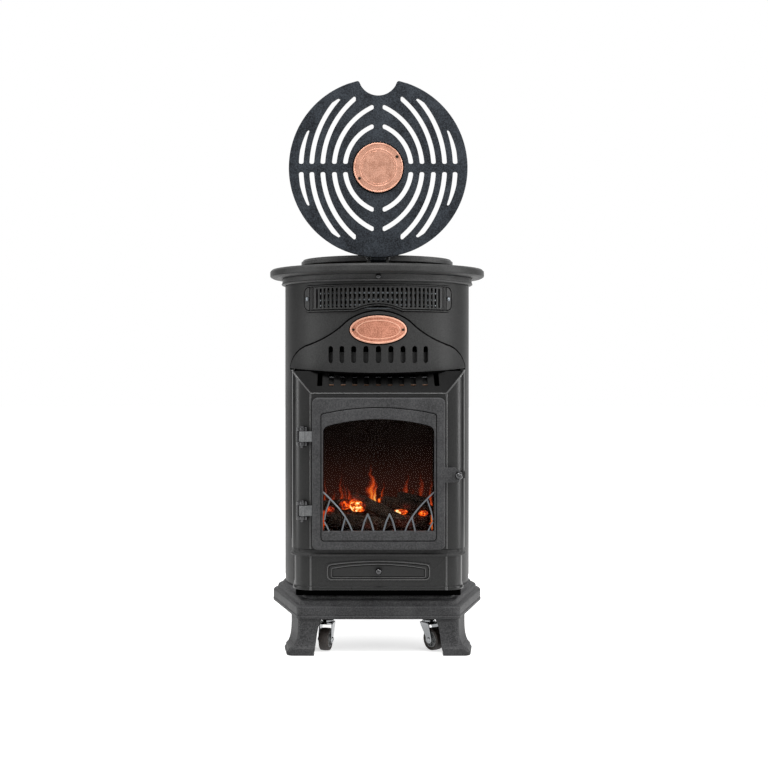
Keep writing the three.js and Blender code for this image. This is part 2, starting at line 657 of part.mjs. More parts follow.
function addDrum() {
  piece("drum_shell", drumShell(), DRUM_PAINT);
  piece("collar_ring", collarRing(), CAST_IRON);
  piece("top_plate", topPlate(), CAST_IRON);
  piece("hob_disc", hobDisc(), CAST_IRON);
  piece("outlet_grille", outletGrille(), CAST_IRON);
  piece("grille_screw_left", grilleScrew(-GRILLE_SCREW), STEEL);
  piece("grille_screw_right", grilleScrew(GRILLE_SCREW), STEEL);
  piece("element_guard", elementGuard(), STEEL);
  piece("hood", hood(), DRUM_PAINT);
  piece("badge", badge(), COPPER);
  piece("back_cover", backCover(), DARK_SHEET);
  piece("cord_gland", cordGland(), PLASTIC);
}

// ---------------------------------------------------------------- fire bay
// Half of the bay's plan, from its right side at y = back round to the middle of its corner.
function bayHalf(inset, back) {
  const [x, y] = [BAY_FLAT, -BAY_FRONT + BAY_CORNER];
  return [[BAY_SIDE - inset, back], ...arcPoints(x, y, BAY_CORNER - inset, 0, -90)];
}

const mirrored = (points) => points.map(([x, y]) => [-x, y]).reverse();

function bayShape(inset, back) {
  const right = bayHalf(inset, back);
  return outline([...right, ...mirrored(right)]);
}

// The bay's plan as a strip of sheet between two insets.
function bayStrip(outer, inner, back) {
  const [a, b] = [bayHalf(outer, back), bayHalf(inner, back)];
  return outline([...a, ...mirrored(a), ...mirrored(b).reverse(), ...b.toReversed()]);
}

const BAY_BACK = -60;

function pillar() {
  const wall = outline([...bayHalf(0, BAY_BACK), ...bayHalf(SHEET, BAY_BACK).reverse()]);
  const above = outline([
    [BAY_FLAT - 5, BAY_TOP], [BAY_FLAT, BAY_TOP], [BAY_SIDE, CHEEK_TOP - 1], [BAY_SIDE + 5, CHEEK_TOP - 1],
    [BAY_SIDE + 5, CHEEK_TOP + 5], [BAY_FLAT - 5, CHEEK_TOP + 5],
  ]);
  return cut(prism(wall, BAY_Z, CHEEK_TOP), upright(above, BAY_BACK + 5, -BAY_FRONT - 5));
}

// The slotted panel over the fire, which slopes up and back under the hood.
function bayRoof() {
  const slopeEnd = [-BAY_FRONT + 71, HOOD_Z + 3];
  const profile = outline([
    [-BAY_FRONT, BAY_TOP - SHEET], [-BAY_FRONT, BAY_TOP], slopeEnd, [BAY_BACK, HOOD_Z + 3],
    [BAY_BACK, HOOD_Z + 3 - SHEET], [slopeEnd[0] + 1, slopeEnd[1] - SHEET],
  ]);
  const inside = join(
    prism(bayShape(SHEET + GAP, BAY_BACK), BAY_TOP - 9, CHEEK_TOP),
    box(-BAY_FLAT + GAP, BAY_FLAT - GAP, -BAY_FRONT, -BAY_FRONT + 20, BAY_TOP - 9, CHEEK_TOP),
  );
  const [pitch, slotHalf] = [21.8, 4.7];
  const slots = [];
  for (let i = -5; i <= 5; i++) {
    const [x0, x1] = [i * pitch - slotHalf, i * pitch + slotHalf];
    slots.push(prism(rectangle(x0, x1, -BAY_FRONT + 23, -BAY_FRONT + 68, 2.5), BAY_TOP - 9, CHEEK_TOP));
  }
  return cut(clip(sideways(profile, -BAY_SIDE, BAY_SIDE), inside), ...slots);
}

// An upright window opening with an arched head, made larger all round by grow.
function windowShape(grow) {
  const half = WINDOW_HALF + grow;
  const top = WINDOW_TOP + grow;
  const corner = 14;
  const shoulder = half - corner;
  const radius = (shoulder ** 2 + WINDOW_ARCH ** 2) / (2 * WINDOW_ARCH);
  const sweep = THREE.MathUtils.radToDeg(Math.asin(shoulder / radius));
  const shape = new THREE.Shape();
  shape.moveTo(-half, WINDOW_Z - grow);
  shape.lineTo(half, WINDOW_Z - grow);
  shape.lineTo(half, top - WINDOW_ARCH - corner);
  shape.quadraticCurveTo(half, top - WINDOW_ARCH - 3, shoulder, top - WINDOW_ARCH);
  shape.absarc(0, top - radius, radius, rad(90 - sweep), rad(90 + sweep), false);
  shape.quadraticCurveTo(-half, top - WINDOW_ARCH - 3, -half, top - WINDOW_ARCH - corner);
  return shape;
}

function doorSurround() {
  const mouth = rectangle(-FIRE_HALF + 4, FIRE_HALF - 4, WINDOW_Z - 10, WINDOW_TOP + 12);
  const plate = rectangle(-BAY_FLAT + GAP, BAY_FLAT - GAP, BAY_Z, BAY_TOP - SHEET - GAP);
  return upright(plate, -BAY_FRONT + SHEET, -BAY_FRONT, [mouth]);
}

function midLedge() {
  const bead = prism(bayShape(-3, BAY_BACK), LEDGE_Z + GAP, LEDGE_Z + 5);
  const step = prism(bayShape(1.5, BAY_BACK), LEDGE_Z + 4, BAY_Z - GAP);
  return cut(join(bead, step), prism(bayShape(9, BAY_BACK - 6), LEDGE_Z - 1, BAY_Z - 5));
}

const LOWER_INSET = 5;
const DRAWER_Z = BODY_Z + DRAWER_RISE;
const TRAY_Z = DRAWER_Z + 2;
const TRAY_HALF = DRAWER_HALF - 9;
const TRAY_TOP = DRAWER_Z + DRAWER_HEIGHT - 5;
const LOWER_FACE = -BAY_FRONT + LOWER_INSET;

function lowerFront() {
  const wall = prism(bayStrip(LOWER_INSET, LOWER_INSET + SHEET, BAY_BACK), BODY_Z, LEDGE_Z);
  const bead = prism(bayStrip(LOWER_INSET - 3, LOWER_INSET + SHEET, BAY_BACK), BODY_Z, BODY_Z + 7);
  const mouth = box(-TRAY_HALF - 2, TRAY_HALF + 2, LOWER_FACE - 5, LOWER_FACE + 15, TRAY_Z - 1, TRAY_TOP + 3);
  return cut(join(wall, bead), mouth);
}

function firebox() {
  const wall = FIRE_HALF + SHEET;
  const front = -BAY_FRONT + SHEET + GAP;
  const shell = box(-wall, wall, front, FIRE_BACK + SHEET, BAY_Z, FIRE_TOP + SHEET);
  const flange = box(-wall - 8, wall + 8, front, front + SHEET, BAY_Z, FIRE_TOP + 6);
  const inside = box(-FIRE_HALF, FIRE_HALF, front - 5, FIRE_BACK, FIRE_FLOOR, FIRE_TOP);
  const shaft = rod(2.5 + RUN, [-wall - 5, SPINDLE_Y, SPINDLE_Z], [wall + 5, SPINDLE_Y, SPINDLE_Z]);
  return cut(join(shell, flange), inside, shaft);
}

// A low mound of embers on the firebox floor.
function emberBed(lift = 0) {
  const [x, y0, y1, top] = [FIRE_HALF - 4, -BAY_FRONT + 14, SCREEN_Y - 4, FIRE_FLOOR + 34];
  const mound = box(-x, x, y0, y1, FIRE_FLOOR + GAP, top);
  const bed = new THREE.BoxGeometry(2 * x, y1 - y0, top - FIRE_FLOOR - GAP, 12, 6, 1).translate(
    0, (y0 + y1) / 2, (top + FIRE_FLOOR + GAP) / 2,
  );
  const at = bed.attributes.position;
  for (let i = 0; i < at.count; i++) {
    if (at.getZ(i) < top - 1) continue;
    const across = at.getX(i) / x;
    const back = (at.getY(i) - y0) / (y1 - y0);
    const lumps = 3 * Math.sin(9 * across + 1) * Math.cos(7 * back);
    at.setZ(i, top - 10 * across ** 2 - 16 * (1 - back) + lumps + lift);
  }
  return lift ? join(bed, mound.translate(0, 0, -5)) : bed;
}

const SCREEN_Y = -62;

// A rough log: a tapered bar with flat chops, grown all round by grow.
function logBar([radius, length, x, y, z, turn, tilt], grow = 0) {
  return new THREE.CylinderGeometry(0.88 * radius + grow, radius + grow, length + 2 * grow, 9, 1)
    .rotateZ(Math.PI / 2)
    .rotateY(rad(tilt))
    .rotateZ(rad(turn))
    .translate(x, y, z);
}

const LOG_BACK = [15, 176, 0, -92, FIRE_FLOOR + 43, 3, 0];
const LOG_LEFT = [14, 104, -46, -138, FIRE_FLOOR + 38, -28, -4];
const LOG_RIGHT = [13, 112, 42, -132, FIRE_FLOOR + 39, 24, 5];

function addBay() {
  piece("pillar_right", pillar(), DRUM_PAINT);
  piece("pillar_left", pillar(), DRUM_PAINT).scale.x = -1;
  piece("bay_roof", bayRoof(), DRUM_PAINT);
  piece("door_surround", doorSurround(), DRUM_PAINT);
  piece("mid_ledge", midLedge(), CAST_IRON);
  piece("lower_front", lowerFront(), DRUM_PAINT);
  piece("firebox", firebox(), DARK_SHEET);
  piece("ember_bed", emberBed(), EMBERS);
  const bed = emberBed(GAP);
  piece("log_back", cut(logBar(LOG_BACK), bed), LOG_BARK);
  piece("log_left", cut(logBar(LOG_LEFT), bed, logBar(LOG_BACK, GAP), logBar(LOG_RIGHT, GAP)), LOG_BARK);
  piece("log_right", cut(logBar(LOG_RIGHT), bed, logBar(LOG_BACK, GAP)), LOG_BARK);
  const [side, floor, top] = [FIRE_HALF - GAP, FIRE_FLOOR + GAP, FIRE_TOP - GAP];
  piece("flame_screen", box(-side, side, SCREEN_Y, SCREEN_Y + 2, floor, top), FLAME_FILM);
}

// A turning rod with small reflecting flags, driven from the right.
function flickerSpindle() {
  const wall = FIRE_HALF + SHEET;
  const parts = [rod(2.5, [-wall - 4, 0, 0], [wall + 10, 0, 0], 8)];
  for (let i = 0; i < 7; i++)
    parts.push(box(-7, 7, -0.5, 0.5, -10, 10).rotateX(rad(52 * i)).translate((i - 3) * 28, 0, 0));
  return join(...parts).translate(0, SPINDLE_Y, SPINDLE_Z);
}

// A motor beside a wall, with a blind bore for the shaft that it turns.
function motor(x, length, radius, y, z, bore) {
  return cut(rod(radius, [x, y, z], [x + length, y, z], 16), rod(bore, [x - 1, y, z], [x + 12, y, z], 8));
}

function heaterHousing() {
  const wall = HEATER_HALF + 1.5;
  const [y0, y1, z0, z1] = [-DRUM_RADIUS, FAN_Y + 34, FAN_Z - 38, GRILLE_TOP];
  const shell = cut(
    box(-wall, wall, y0, y1, z0, z1),
    box(-HEATER_HALF, HEATER_HALF, y0 - 5, y1 - 1.5, z0 + 1.5, z1 - 1.5),
    box(-HEATER_HALF + 8, HEATER_HALF - 8, y1 - 5, y1 + 5, z0 + 10, z1 - 10),
    rod(PIN + RUN, [-wall - 5, FAN_Y, FAN_Z], [wall + 5, FAN_Y, FAN_Z]),
  );
  const reach = DRUM_INNER - 2 - 2 * GAP;
  return clip(shell, turned([[0, z0 - 5], [reach, z0 - 5], [reach, z1 + 5], [0, z1 + 5]]));
}

function heatingElement() {
  const holes = [];
  for (let i = -6; i < 6; i++) holes.push(rectangle(i * 17 + 2, i * 17 + 15, GRILLE_Z + 15, GRILLE_Z + 37));
  const block = rectangle(-HEATER_HALF + GAP, HEATER_HALF - GAP, GRILLE_Z + 11, GRILLE_Z + 41);
  return upright(block, FAN_Y - 32, FAN_Y - 42, holes);
}

function fanRotor() {
  const reach = HEATER_HALF - 12;
  const blades = [];
  for (let i = 0; i < 9; i++)
    blades.push(box(-reach, reach, -0.7, 0.7, FAN_RADIUS - 8, FAN_RADIUS - 1).rotateX(rad(40 * i)));
  const discs = [-reach, 0, reach].map((x) => rod(FAN_RADIUS, [x - 1, 0, 0], [x + 1, 0, 0], 18));
  const shaft = rod(PIN, [-HEATER_HALF - 4, 0, 0], [HEATER_HALF + 11, 0, 0], 8);
  return join(shaft, ...discs, ...blades).translate(0, FAN_Y, FAN_Z);
}

function addWorks() {
  piece("flicker_spindle", flickerSpindle(), STEEL);
  const beside = FIRE_HALF + SHEET + GAP;
  piece("flicker_motor", motor(beside, 24, 16, SPINDLE_Y, SPINDLE_Z, 2.5 + RUN), DARK_SHEET);
  piece("heater_housing", heaterHousing(), DARK_SHEET);
  piece("heating_element", heatingElement(), CERAMIC);
  piece("fan_rotor", fanRotor(), STEEL);
  piece("fan_motor", motor(HEATER_HALF + 1.5 + GAP, 22, 20, FAN_Y, FAN_Z, PIN + RUN), DARK_SHEET);
}

// ---------------------------------------------------------------- door
const HINGES = [["upper", HINGE_MIDDLE + HINGE_SPREAD / 2], ["lower", HINGE_MIDDLE - HINGE_SPREAD / 2]];
const TAB_FRONT = DOOR_FACE;
const TAB_BACK = DOOR_FACE + 6;

function doorFrame() {
  const face = rectangle(-DOOR_HALF, DOOR_HALF, DOOR_Z, DOOR_TOP, DOOR_CORNER);
  const slab = upright(face, DOOR_BACK, DOOR_FACE, [windowShape(0)]);
  const straps = HINGES.flatMap(([, z]) => [
    rod(6, [HINGE_X, HINGE_Y, z - STRAP_HEIGHT / 2], [HINGE_X, HINGE_Y, z + STRAP_HEIGHT / 2]),
    box(HINGE_X, -DOOR_HALF + 4, HINGE_Y - 3, HINGE_Y + 3, z - STRAP_HEIGHT / 2, z + STRAP_HEIGHT / 2),
  ]);
  const tab = join(
    upright(rectangle(DOOR_HALF - 4, LATCH_X - 3, LATCH_Z - 13.7, LATCH_Z + 13.7, 4), TAB_BACK, TAB_FRONT),
    rod(7.5, [LATCH_X, TAB_BACK, LATCH_Z], [LATCH_X, TAB_FRONT, LATCH_Z], 16),
  );
  const bores = HINGES.map(([, z]) =>
    rod(PIN + GAP, [HINGE_X, HINGE_Y, z - STRAP_HEIGHT], [HINGE_X, HINGE_Y, z + STRAP_HEIGHT]),
  );
  const rebate = upright(windowShape(GLASS_LAP + GAP), DOOR_BACK + 5, DOOR_BACK - GLASS - 2 * GAP);
  const spindle = rod(PIN + GAP, [LATCH_X, TAB_BACK + 5, LATCH_Z], [LATCH_X, TAB_FRONT - 5, LATCH_Z]);
  return cut(join(slab, ...straps, tab), rebate, spindle, ...bores);
}

// The bracket that a door strap sits in: a lug above and one below, joined by a spine outside.
function hingeBracket(z) {
  const lugHeight = 7;
  const near = STRAP_HEIGHT / 2 + RUN;
  const lugs = [z + near, z - near - lugHeight].flatMap((low) => [
    rod(7, [HINGE_X, HINGE_Y, low], [HINGE_X, HINGE_Y, low + lugHeight]),
    box(HINGE_X - 7, HINGE_X + 7, HINGE_Y, -BAY_FRONT + 8, low, low + lugHeight),
  ]);
  const far = near + lugHeight;
  const spine = box(HINGE_X - 11, HINGE_X - 6.8, HINGE_Y + 1, -BAY_FRONT + 14, z - far, z + far);
  const pillarSide = prism(bayShape(-GAP, BAY_BACK), z - 40, z + 40);
  const bore = rod(PIN + GAP, [HINGE_X, HINGE_Y, z - 40], [HINGE_X, HINGE_Y, z + 40]);
  return cut(join(...lugs, spine), pillarSide, bore);
}

function hingePin(z) {
  const end = STRAP_HEIGHT / 2 + RUN + 7;
  return join(
    rod(PIN, [HINGE_X, HINGE_Y, z - end - 4], [HINGE_X, HINGE_Y, z + end + 1]),
    rod(5, [HINGE_X, HINGE_Y, z + end + GAP], [HINGE_X, HINGE_Y, z + end + 2.5]),
  );
}

// Satin wires across the foot of the window. Points are [in from the window's side, up from its sill].
const FRET_WIRES = [
  [[2.2, 69], [13.4, 57], [28, 43], [39, 29], [48, 13], [55.5, 2]],
  [[12.5, 56], [6, 38], [2.2, 20]],
  [[2.2, 17], [11.6, 2]],
  [[41, 25], [34.5, 2]],
  [[82, 30], [75.5, 16], [71.3, 2]],
  [[82, 30], [88.5, 16], [93, 2]],
];
const FRET_Y = DOOR_FACE + 3.6;
const WIRE = 1.6;

function wire(points, side) {
  const at = ([inward, up]) => new THREE.Vector3(side * (WINDOW_HALF - inward), FRET_Y, WINDOW_Z + up);
  const section = outline(arcPoints(0, 0, WIRE, 0, 360, 5).slice(1));
  const extrudePath = new THREE.CatmullRomCurve3(points.map(at));
  return new THREE.ExtrudeGeometry(section, { extrudePath, steps: points.length - 1 });
}

function fireFret() {
  const sill = WINDOW_Z + GAP;
  const end = WINDOW_HALF - GAP - WIRE;
  const rail = box(-WINDOW_HALF + GAP, WINDOW_HALF - GAP, FRET_Y - 1.5, FRET_Y + 1.5, sill, sill + 3);
  const sides = [-1, 1].flatMap((side) => [
    rod(WIRE, [side * end, FRET_Y, sill + 1], [side * end, FRET_Y, WINDOW_Z + 70], 6),
    ...FRET_WIRES.map((points) => wire(points, side)),
  ]);
  const opening = upright(windowShape(-GAP), DOOR_BACK, DOOR_FACE);
  return clip(join(rail, ...sides), opening);
}

function latchKnob() {
  const camBack = TAB_BACK + 7;
  return join(
    rod(PIN, [LATCH_X, camBack, LATCH_Z], [LATCH_X, TAB_FRONT - 8, LATCH_Z]),
    box(LATCH_X - 3, LATCH_X + 3, camBack - 3, camBack, LATCH_Z - 8, LATCH_Z + 3),
    new THREE.SphereGeometry(7.5, 12, 7).translate(LATCH_X, TAB_FRONT - 10, LATCH_Z),
    rod(2, [LATCH_X, TAB_FRONT - 10, LATCH_Z - 11], [LATCH_X, TAB_FRONT - 10, LATCH_Z + 11], 8),
  );
}

// A hook on the right pillar: the cam turns behind its lip.
function latchKeeper() {
  const [x0, x1] = [LATCH_X + 9, LATCH_X + 12.5];
  const lipFront = TAB_BACK + GAP;
  const hook = join(
    box(x0, x1, lipFront, -BAY_FRONT + 25, LATCH_Z - 6, LATCH_Z + 6),
    box(x0 - 4.5, x1, lipFront, lipFront + 2.6, LATCH_Z - 6, LATCH_Z + 6),
  );
  return cut(hook, prism(bayShape(-GAP, BAY_BACK), LATCH_Z - 20, LATCH_Z + 20));
}

function addDoor() {
  piece("door_frame", doorFrame(), DOOR_PAINT);
  const glass = upright(windowShape(GLASS_LAP), DOOR_BACK - GAP, DOOR_BACK - GAP - GLASS);
  piece("door_glass", glass, DOOR_GLASS);
  piece("fire_fret", fireFret(), STEEL);
  for (const [place, z] of HINGES) {
    piece("hinge_bracket_" + place, hingeBracket(z), DOOR_PAINT);
    piece("hinge_pin_" + place, hingePin(z), STEEL);
  }
  piece("latch_knob", latchKnob(), STEEL);
  piece("latch_keeper", latchKeeper(), DARK_SHEET);
}

// ---------------------------------------------------------------- drawer
function drawerFront() {
  const top = DRAWER_Z + DRAWER_HEIGHT;
  const radius = (DRAWER_HALF ** 2 + DRAWER_ARCH ** 2) / (2 * DRAWER_ARCH);
  const sweep = THREE.MathUtils.radToDeg(Math.asin(DRAWER_HALF / radius));
  const arch = arcPoints(0, top + DRAWER_ARCH - radius, radius, 90 - sweep, 90 + sweep, 10);
  const panel = outline([[-DRAWER_HALF, DRAWER_Z], [DRAWER_HALF, DRAWER_Z], ...arch]);
  return upright(panel, LOWER_FACE - GAP, LOWER_FACE - GAP - 3);
}

function drawerTray() {
  const [front, back] = [LOWER_FACE, LOWER_FACE + TRAY_DEPTH];
  return cut(
    box(-TRAY_HALF, TRAY_HALF, front, back, TRAY_Z, TRAY_TOP),
    box(-TRAY_HALF + 1.5, TRAY_HALF - 1.5, front + 1.5, back - 1.5, TRAY_Z + 1.5, TRAY_TOP + 1),
  );
}

function addDrawer() {
  piece("drawer_front", drawerFront(), DRUM_PAINT);
  piece("drawer_tray", drawerTray(), DARK_SHEET);
  const knob = [[0, 0], [3, 0], [2.4, 3], [4.5, 4.6], [6.2, 8.5], [5, 12], [2.5, 13.7], [0, 14]];
  const at = [0, LOWER_FACE - 3 - 2 * GAP, DRAWER_Z + 19];
  piece("drawer_knob", turnedForward(knob, at, 14), CAST_IRON);
}

// ---------------------------------------------------------------- trivet
const SLOT_FIELD = TRIVET_RADIUS - TRIVET_RIM; // radius of the slotted field
const BAR_ACROSS = 7.5; // half the bar that runs from side to side
const BAR_UPRIGHT = 8.4; // half the bar that runs up and down
const FINGER_NOTCH = 37.5; // radius of the notch at the trivet's top
// Each slot follows a circle: where it crosses the middle line and its radius, in slotted-field radii.
const TRIVET_ARCS = [[0.413, 0.565], [0.55, 0.845], [0.693, 1.133], [0.831, 1.287], [0.963, 1.463]];

// Angle at which a circle of this radius about (centre, 0) ends: at the upright bar, or at the
// edge of the slotted field, whichever comes first.
function slotEnd(centre, radius) {
  const atBar = Math.acos((BAR_UPRIGHT - centre) / radius);
  const x = (SLOT_FIELD ** 2 + centre ** 2 - radius ** 2) / (2 * centre);
  const inField = Math.abs(x) < SLOT_FIELD && x > BAR_UPRIGHT;
  return inField ? Math.min(atBar, Math.acos((x - centre) / radius)) : atBar;
}

// One slot of the upper right quarter.
function trivetSlot([crossesAt, curve]) {
  const radius = curve * SLOT_FIELD;
  const centre = crossesAt * SLOT_FIELD - radius;
  const side = (r, reverse) => {
    const ends = [Math.asin(BAR_ACROSS / r), slotEnd(centre, r)].map(THREE.MathUtils.radToDeg);
    if (reverse) ends.reverse();
    return arcPoints(centre, 0, r, ...ends, 5);
  };
  return [...side(radius + SLOT_WIDTH / 2, false), ...side(radius - SLOT_WIDTH / 2, true)];
}

// The trivet's outline: a disc with a round finger notch at its top.
function trivetOutline() {
  const notchAt = TRIVET_RADIUS + 5.6;
  const z = (TRIVET_RADIUS ** 2 + notchAt ** 2 - FINGER_NOTCH ** 2) / (2 * notchAt);
  const edge = THREE.MathUtils.radToDeg(Math.asin(z / TRIVET_RADIUS));
  const inside = THREE.MathUtils.radToDeg(Math.asin((z - notchAt) / FINGER_NOTCH));
  return outline([
    ...arcPoints(0, 0, TRIVET_RADIUS, 180 - edge, 360 + edge, 56),
    ...arcPoints(0, notchAt, FINGER_NOTCH, inside, -180 - inside, 10).slice(1, -1),
  ]);
}

const KNUCKLE_HALF = 14;
const EAR = 6;

function trivet() {
  const holes = TRIVET_ARCS.flatMap((slot) => {
    const points = trivetSlot(slot);
    const quarters = [[1, 1], [1, -1], [-1, 1], [-1, -1]];
    return quarters.map(([sx, sy]) => outline(points.map(([x, y]) => [sx * x, sy * y])));
  });
  const disc = upright(trivetOutline(), DISC_BACK, DISC_BACK - TRIVET_THICKNESS, holes);
  const [y, z] = [TRIVET_PIN_Y, TRIVET_PIN_Z];
  const knuckle = cut(
    join(
      rod(6.5, [-KNUCKLE_HALF, y, z], [KNUCKLE_HALF, y, z], 16),
      box(-KNUCKLE_HALF, KNUCKLE_HALF, DISC_BACK - 1, y, z - 3, z + 14),
    ),
    rod(PIN + GAP, [-KNUCKLE_HALF - 5, y, z], [KNUCKLE_HALF + 5, y, z]),
  );
  return join(disc.translate(0, 0, DISC_Z), knuckle);
}

// A bare copper disc riveted to the trivet's face.
function medallion() {
  const face = DISC_BACK - TRIVET_THICKNESS - GAP;
  const rivetAt = MEDALLION_RADIUS - 4.9;
  const rivets = [30, 210].map(rad).map((turn) => {
    const [x, z] = [rivetAt * Math.cos(turn), DISC_Z + rivetAt * Math.sin(turn)];
    return rod(3, [x, face - 2, z], [x, face - 4.2, z], 8);
  });
  return join(rod(MEDALLION_RADIUS, [0, face, DISC_Z], [0, face - 3, DISC_Z], 48), ...rivets);
}

// Two ears on a foot, with a lip that stops the trivet from falling forward.
function trivetBracket() {
  const inner = KNUCKLE_HALF + RUN;
  const outer = inner + EAR;
  const [y, z, foot] = [TRIVET_PIN_Y, TRIVET_PIN_Z, RIM_TOP + GAP];
  const ears = [[-outer, -inner], [inner, outer]].map(([x0, x1]) =>
    box(x0, x1, y - 6.5, y + EAR_BACK, foot, z + 6),
  );
  const base = box(-outer, outer, y - 8, y + EAR_BACK, foot, z - 7);
  const lip = box(-inner, inner, y - 8, y - 6.9, foot, z - 3 - GAP);
  return cut(join(base, lip, ...ears), rod(PIN + GAP, [-outer - 5, y, z], [outer + 5, y, z]));
}

function addTrivet() {
  piece("trivet_hinge_bracket", trivetBracket(), CAST_IRON);
  const reach = KNUCKLE_HALF + RUN + EAR + 1;
  const at = (x) => [x, TRIVET_PIN_Y, TRIVET_PIN_Z];
  piece("trivet_hinge_pin", rod(PIN, at(-reach), at(reach)), STEEL);
  piece("trivet", trivet(), CAST_IRON);
  piece("trivet_medallion", medallion(), COPPER);
}

// ---------------------------------------------------------------- the stove
addBase();
addDrum();
addBay();
addWorks();
addDoor();
addDrawer();
addTrivet();

// The origin lies on the floor under the middle of the stove's overall box.
const extent = new THREE.Box3().setFromObject(stove);
stove.position.y = -(extent.min.y + extent.max.y) / 2;

export default stove;
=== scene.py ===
# A free-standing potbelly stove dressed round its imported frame: a charcoal drum with a glazed door
# over a glowing fire, a cast plinth on legs and castors, and a slotted trivet standing on the hob.
# A shape is (points, faces), in millimetres from the drum's axis at floor level; piece() puts it into
# metres. An angle on the drum is in degrees from the middle of its front.
import json
import math
from functools import partial
from types import SimpleNamespace

import bmesh
import bpy
from mathutils import Matrix, Vector, noise


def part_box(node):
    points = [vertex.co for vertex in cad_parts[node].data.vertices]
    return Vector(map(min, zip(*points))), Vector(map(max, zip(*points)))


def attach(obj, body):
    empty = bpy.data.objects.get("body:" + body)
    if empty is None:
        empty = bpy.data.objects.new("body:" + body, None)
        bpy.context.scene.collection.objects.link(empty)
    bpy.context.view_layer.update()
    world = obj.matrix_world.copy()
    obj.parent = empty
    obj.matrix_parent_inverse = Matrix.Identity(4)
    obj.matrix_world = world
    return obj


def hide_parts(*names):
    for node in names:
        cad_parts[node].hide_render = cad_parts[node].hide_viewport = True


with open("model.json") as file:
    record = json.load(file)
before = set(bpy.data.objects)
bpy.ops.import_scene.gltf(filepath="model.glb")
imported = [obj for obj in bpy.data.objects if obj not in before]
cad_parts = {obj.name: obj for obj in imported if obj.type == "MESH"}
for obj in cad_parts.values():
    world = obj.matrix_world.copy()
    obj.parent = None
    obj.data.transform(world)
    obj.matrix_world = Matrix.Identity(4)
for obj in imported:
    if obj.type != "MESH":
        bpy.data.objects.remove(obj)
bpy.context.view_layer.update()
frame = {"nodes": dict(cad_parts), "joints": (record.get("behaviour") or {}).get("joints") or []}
MM = 0.001
AXIS_Y = sum(corner.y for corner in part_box("top_plate")) / 2  # the drum's axis in the frame, metres
TAU = 2 * math.pi
SIDES = (-1, 1)


def span(name):
    """A CAD node's box in millimetres from the drum's axis."""
    low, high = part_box(name)
    y0, y1 = (corner.y - AXIS_Y for corner in (low, high))
    sides = dict(x0=low.x, x1=high.x, y0=y0, y1=y1, z0=low.z, z1=high.z)
    return SimpleNamespace(**{side: value / MM for side, value in sides.items()})


def joint_point(name):
    """A joint's point in millimetres from the drum's axis."""
    x, y, z = next(joint["pos_m"] for joint in frame["joints"] if joint["name"] == name)
    return Vector((x, y - AXIS_Y, z)) / MM


# ---------------------------------------------------------------- sizes taken from the frame
DRUM = span("drum_shell")
RADIUS = DRUM.x1
PLINTH = span("base_plinth")
SPACER = span("plinth_spacer")
LEG_REACH = min(-span("leg_front_left").y0, span("leg_rear_left").y1) - 0.1
LOWER = span("lower_front")
LEDGE = span("mid_ledge")
PILLAR = span("pillar_right")
DOOR = span("door_frame")
GLASS = span("door_glass")
FRET = span("fire_fret")
DRAWER = span("drawer_front")
KNOB = span("drawer_knob")
FIREBOX = span("firebox")
BED = span("ember_bed")
HOOD = span("hood")
HOOD_HEIGHT = HOOD.z1 - HOOD.z0
GRILLE = span("outlet_grille")
COLLAR = span("collar_ring")
TOP = span("top_plate")
HOB = span("hob_disc")
TRIVET_RADIUS = span("trivet").x1
MEDAL = span("trivet_medallion")
COVER = span("back_cover")
GLAND = span("cord_gland")
ELEMENT = span("heating_element")
ROTOR = span("fan_rotor")
HINGE = joint_point("door_hinge")
LATCH = joint_point("latch_turn")
LID_PIN = joint_point("trivet_hinge")

# Sizes that the frame's boxes don't give
SHEET = 2
BAY_CORNER = 36
BAY_FRONT = -PILLAR.y0
BAY_SIDE = PILLAR.x1
BAY_FLAT = BAY_SIDE - BAY_CORNER
BAY_BACK = PILLAR.y1
BAY_TOP = span("door_surround").z1 + 2.3
DOOR_HALF = BAY_FLAT - 3
WINDOW_HALF = DOOR_HALF - 20
WINDOW_Z = GLASS.z0 + 6
WINDOW_TOP = GLASS.z1 - 6
WINDOW_SPRING, WINDOW_RISE = 420.2, 14.7
HINGE_MIDDLE = (DOOR.z0 + DOOR.z1) / 2
HINGE_HEIGHTS = {"upper": HINGE_MIDDLE + 68, "lower": HINGE_MIDDLE - 68}
BADGE_Z = HOOD.z0 + 0.7 * HOOD_HEIGHT
MEDAL_Z = (MEDAL.z0 + MEDAL.z1) / 2
CORNERS = {"front_left": (-1, -1), "front_right": (1, -1), "rear_left": (-1, 1), "rear_right": (1, 1)}


# ---------------------------------------------------------------- shapes
def joined(*shapes):
    """Several shapes as one."""
    points, faces = [], []
    for more_points, more_faces in shapes:
        start = len(points)
        points.extend(more_points)
        faces.extend([start + i for i in face] for face in more_faces)
    return points, faces


def mapped(shape, move):
    """The shape with every point moved by a function of (x, y, z)."""
    return [Vector(move(*point)) for point in shape[0]], shape[1]


def moved(shape, x=0.0, y=0.0, z=0.0):
    """The shape moved along the three axes."""
    return mapped(shape, lambda px, py, pz: (px + x, py + y, pz + z))


def facing(shape):
    """A shape made about the vertical axis, turned to point forward."""
    return mapped(shape, lambda x, y, z: (x, -z, y))


def lying(shape):
    """A shape made about the vertical axis, turned to lie from side to side."""
    return mapped(shape, lambda x, y, z: (z, y, x))


def cheeks(shape, *places):
    """A plate drawn in depth and height, stood on edge at each place from side to side."""
    return joined(*[mapped(shape, lambda x, y, z, at=at: (at + z, x, y)) for at in places])


def turned_by(shape, degrees):
    """The shape turned about the vertical axis."""
    turn = Matrix.Rotation(math.radians(degrees), 3, "Z")
    return [turn @ Vector(point) for point in shape[0]], shape[1]


def mirrored(shape):
    """The shape and its mirror image on the other side."""
    return joined(shape, ([Vector((-x, y, z)) for x, y, z in shape[0]],
                          [face[::-1] for face in shape[1]]))


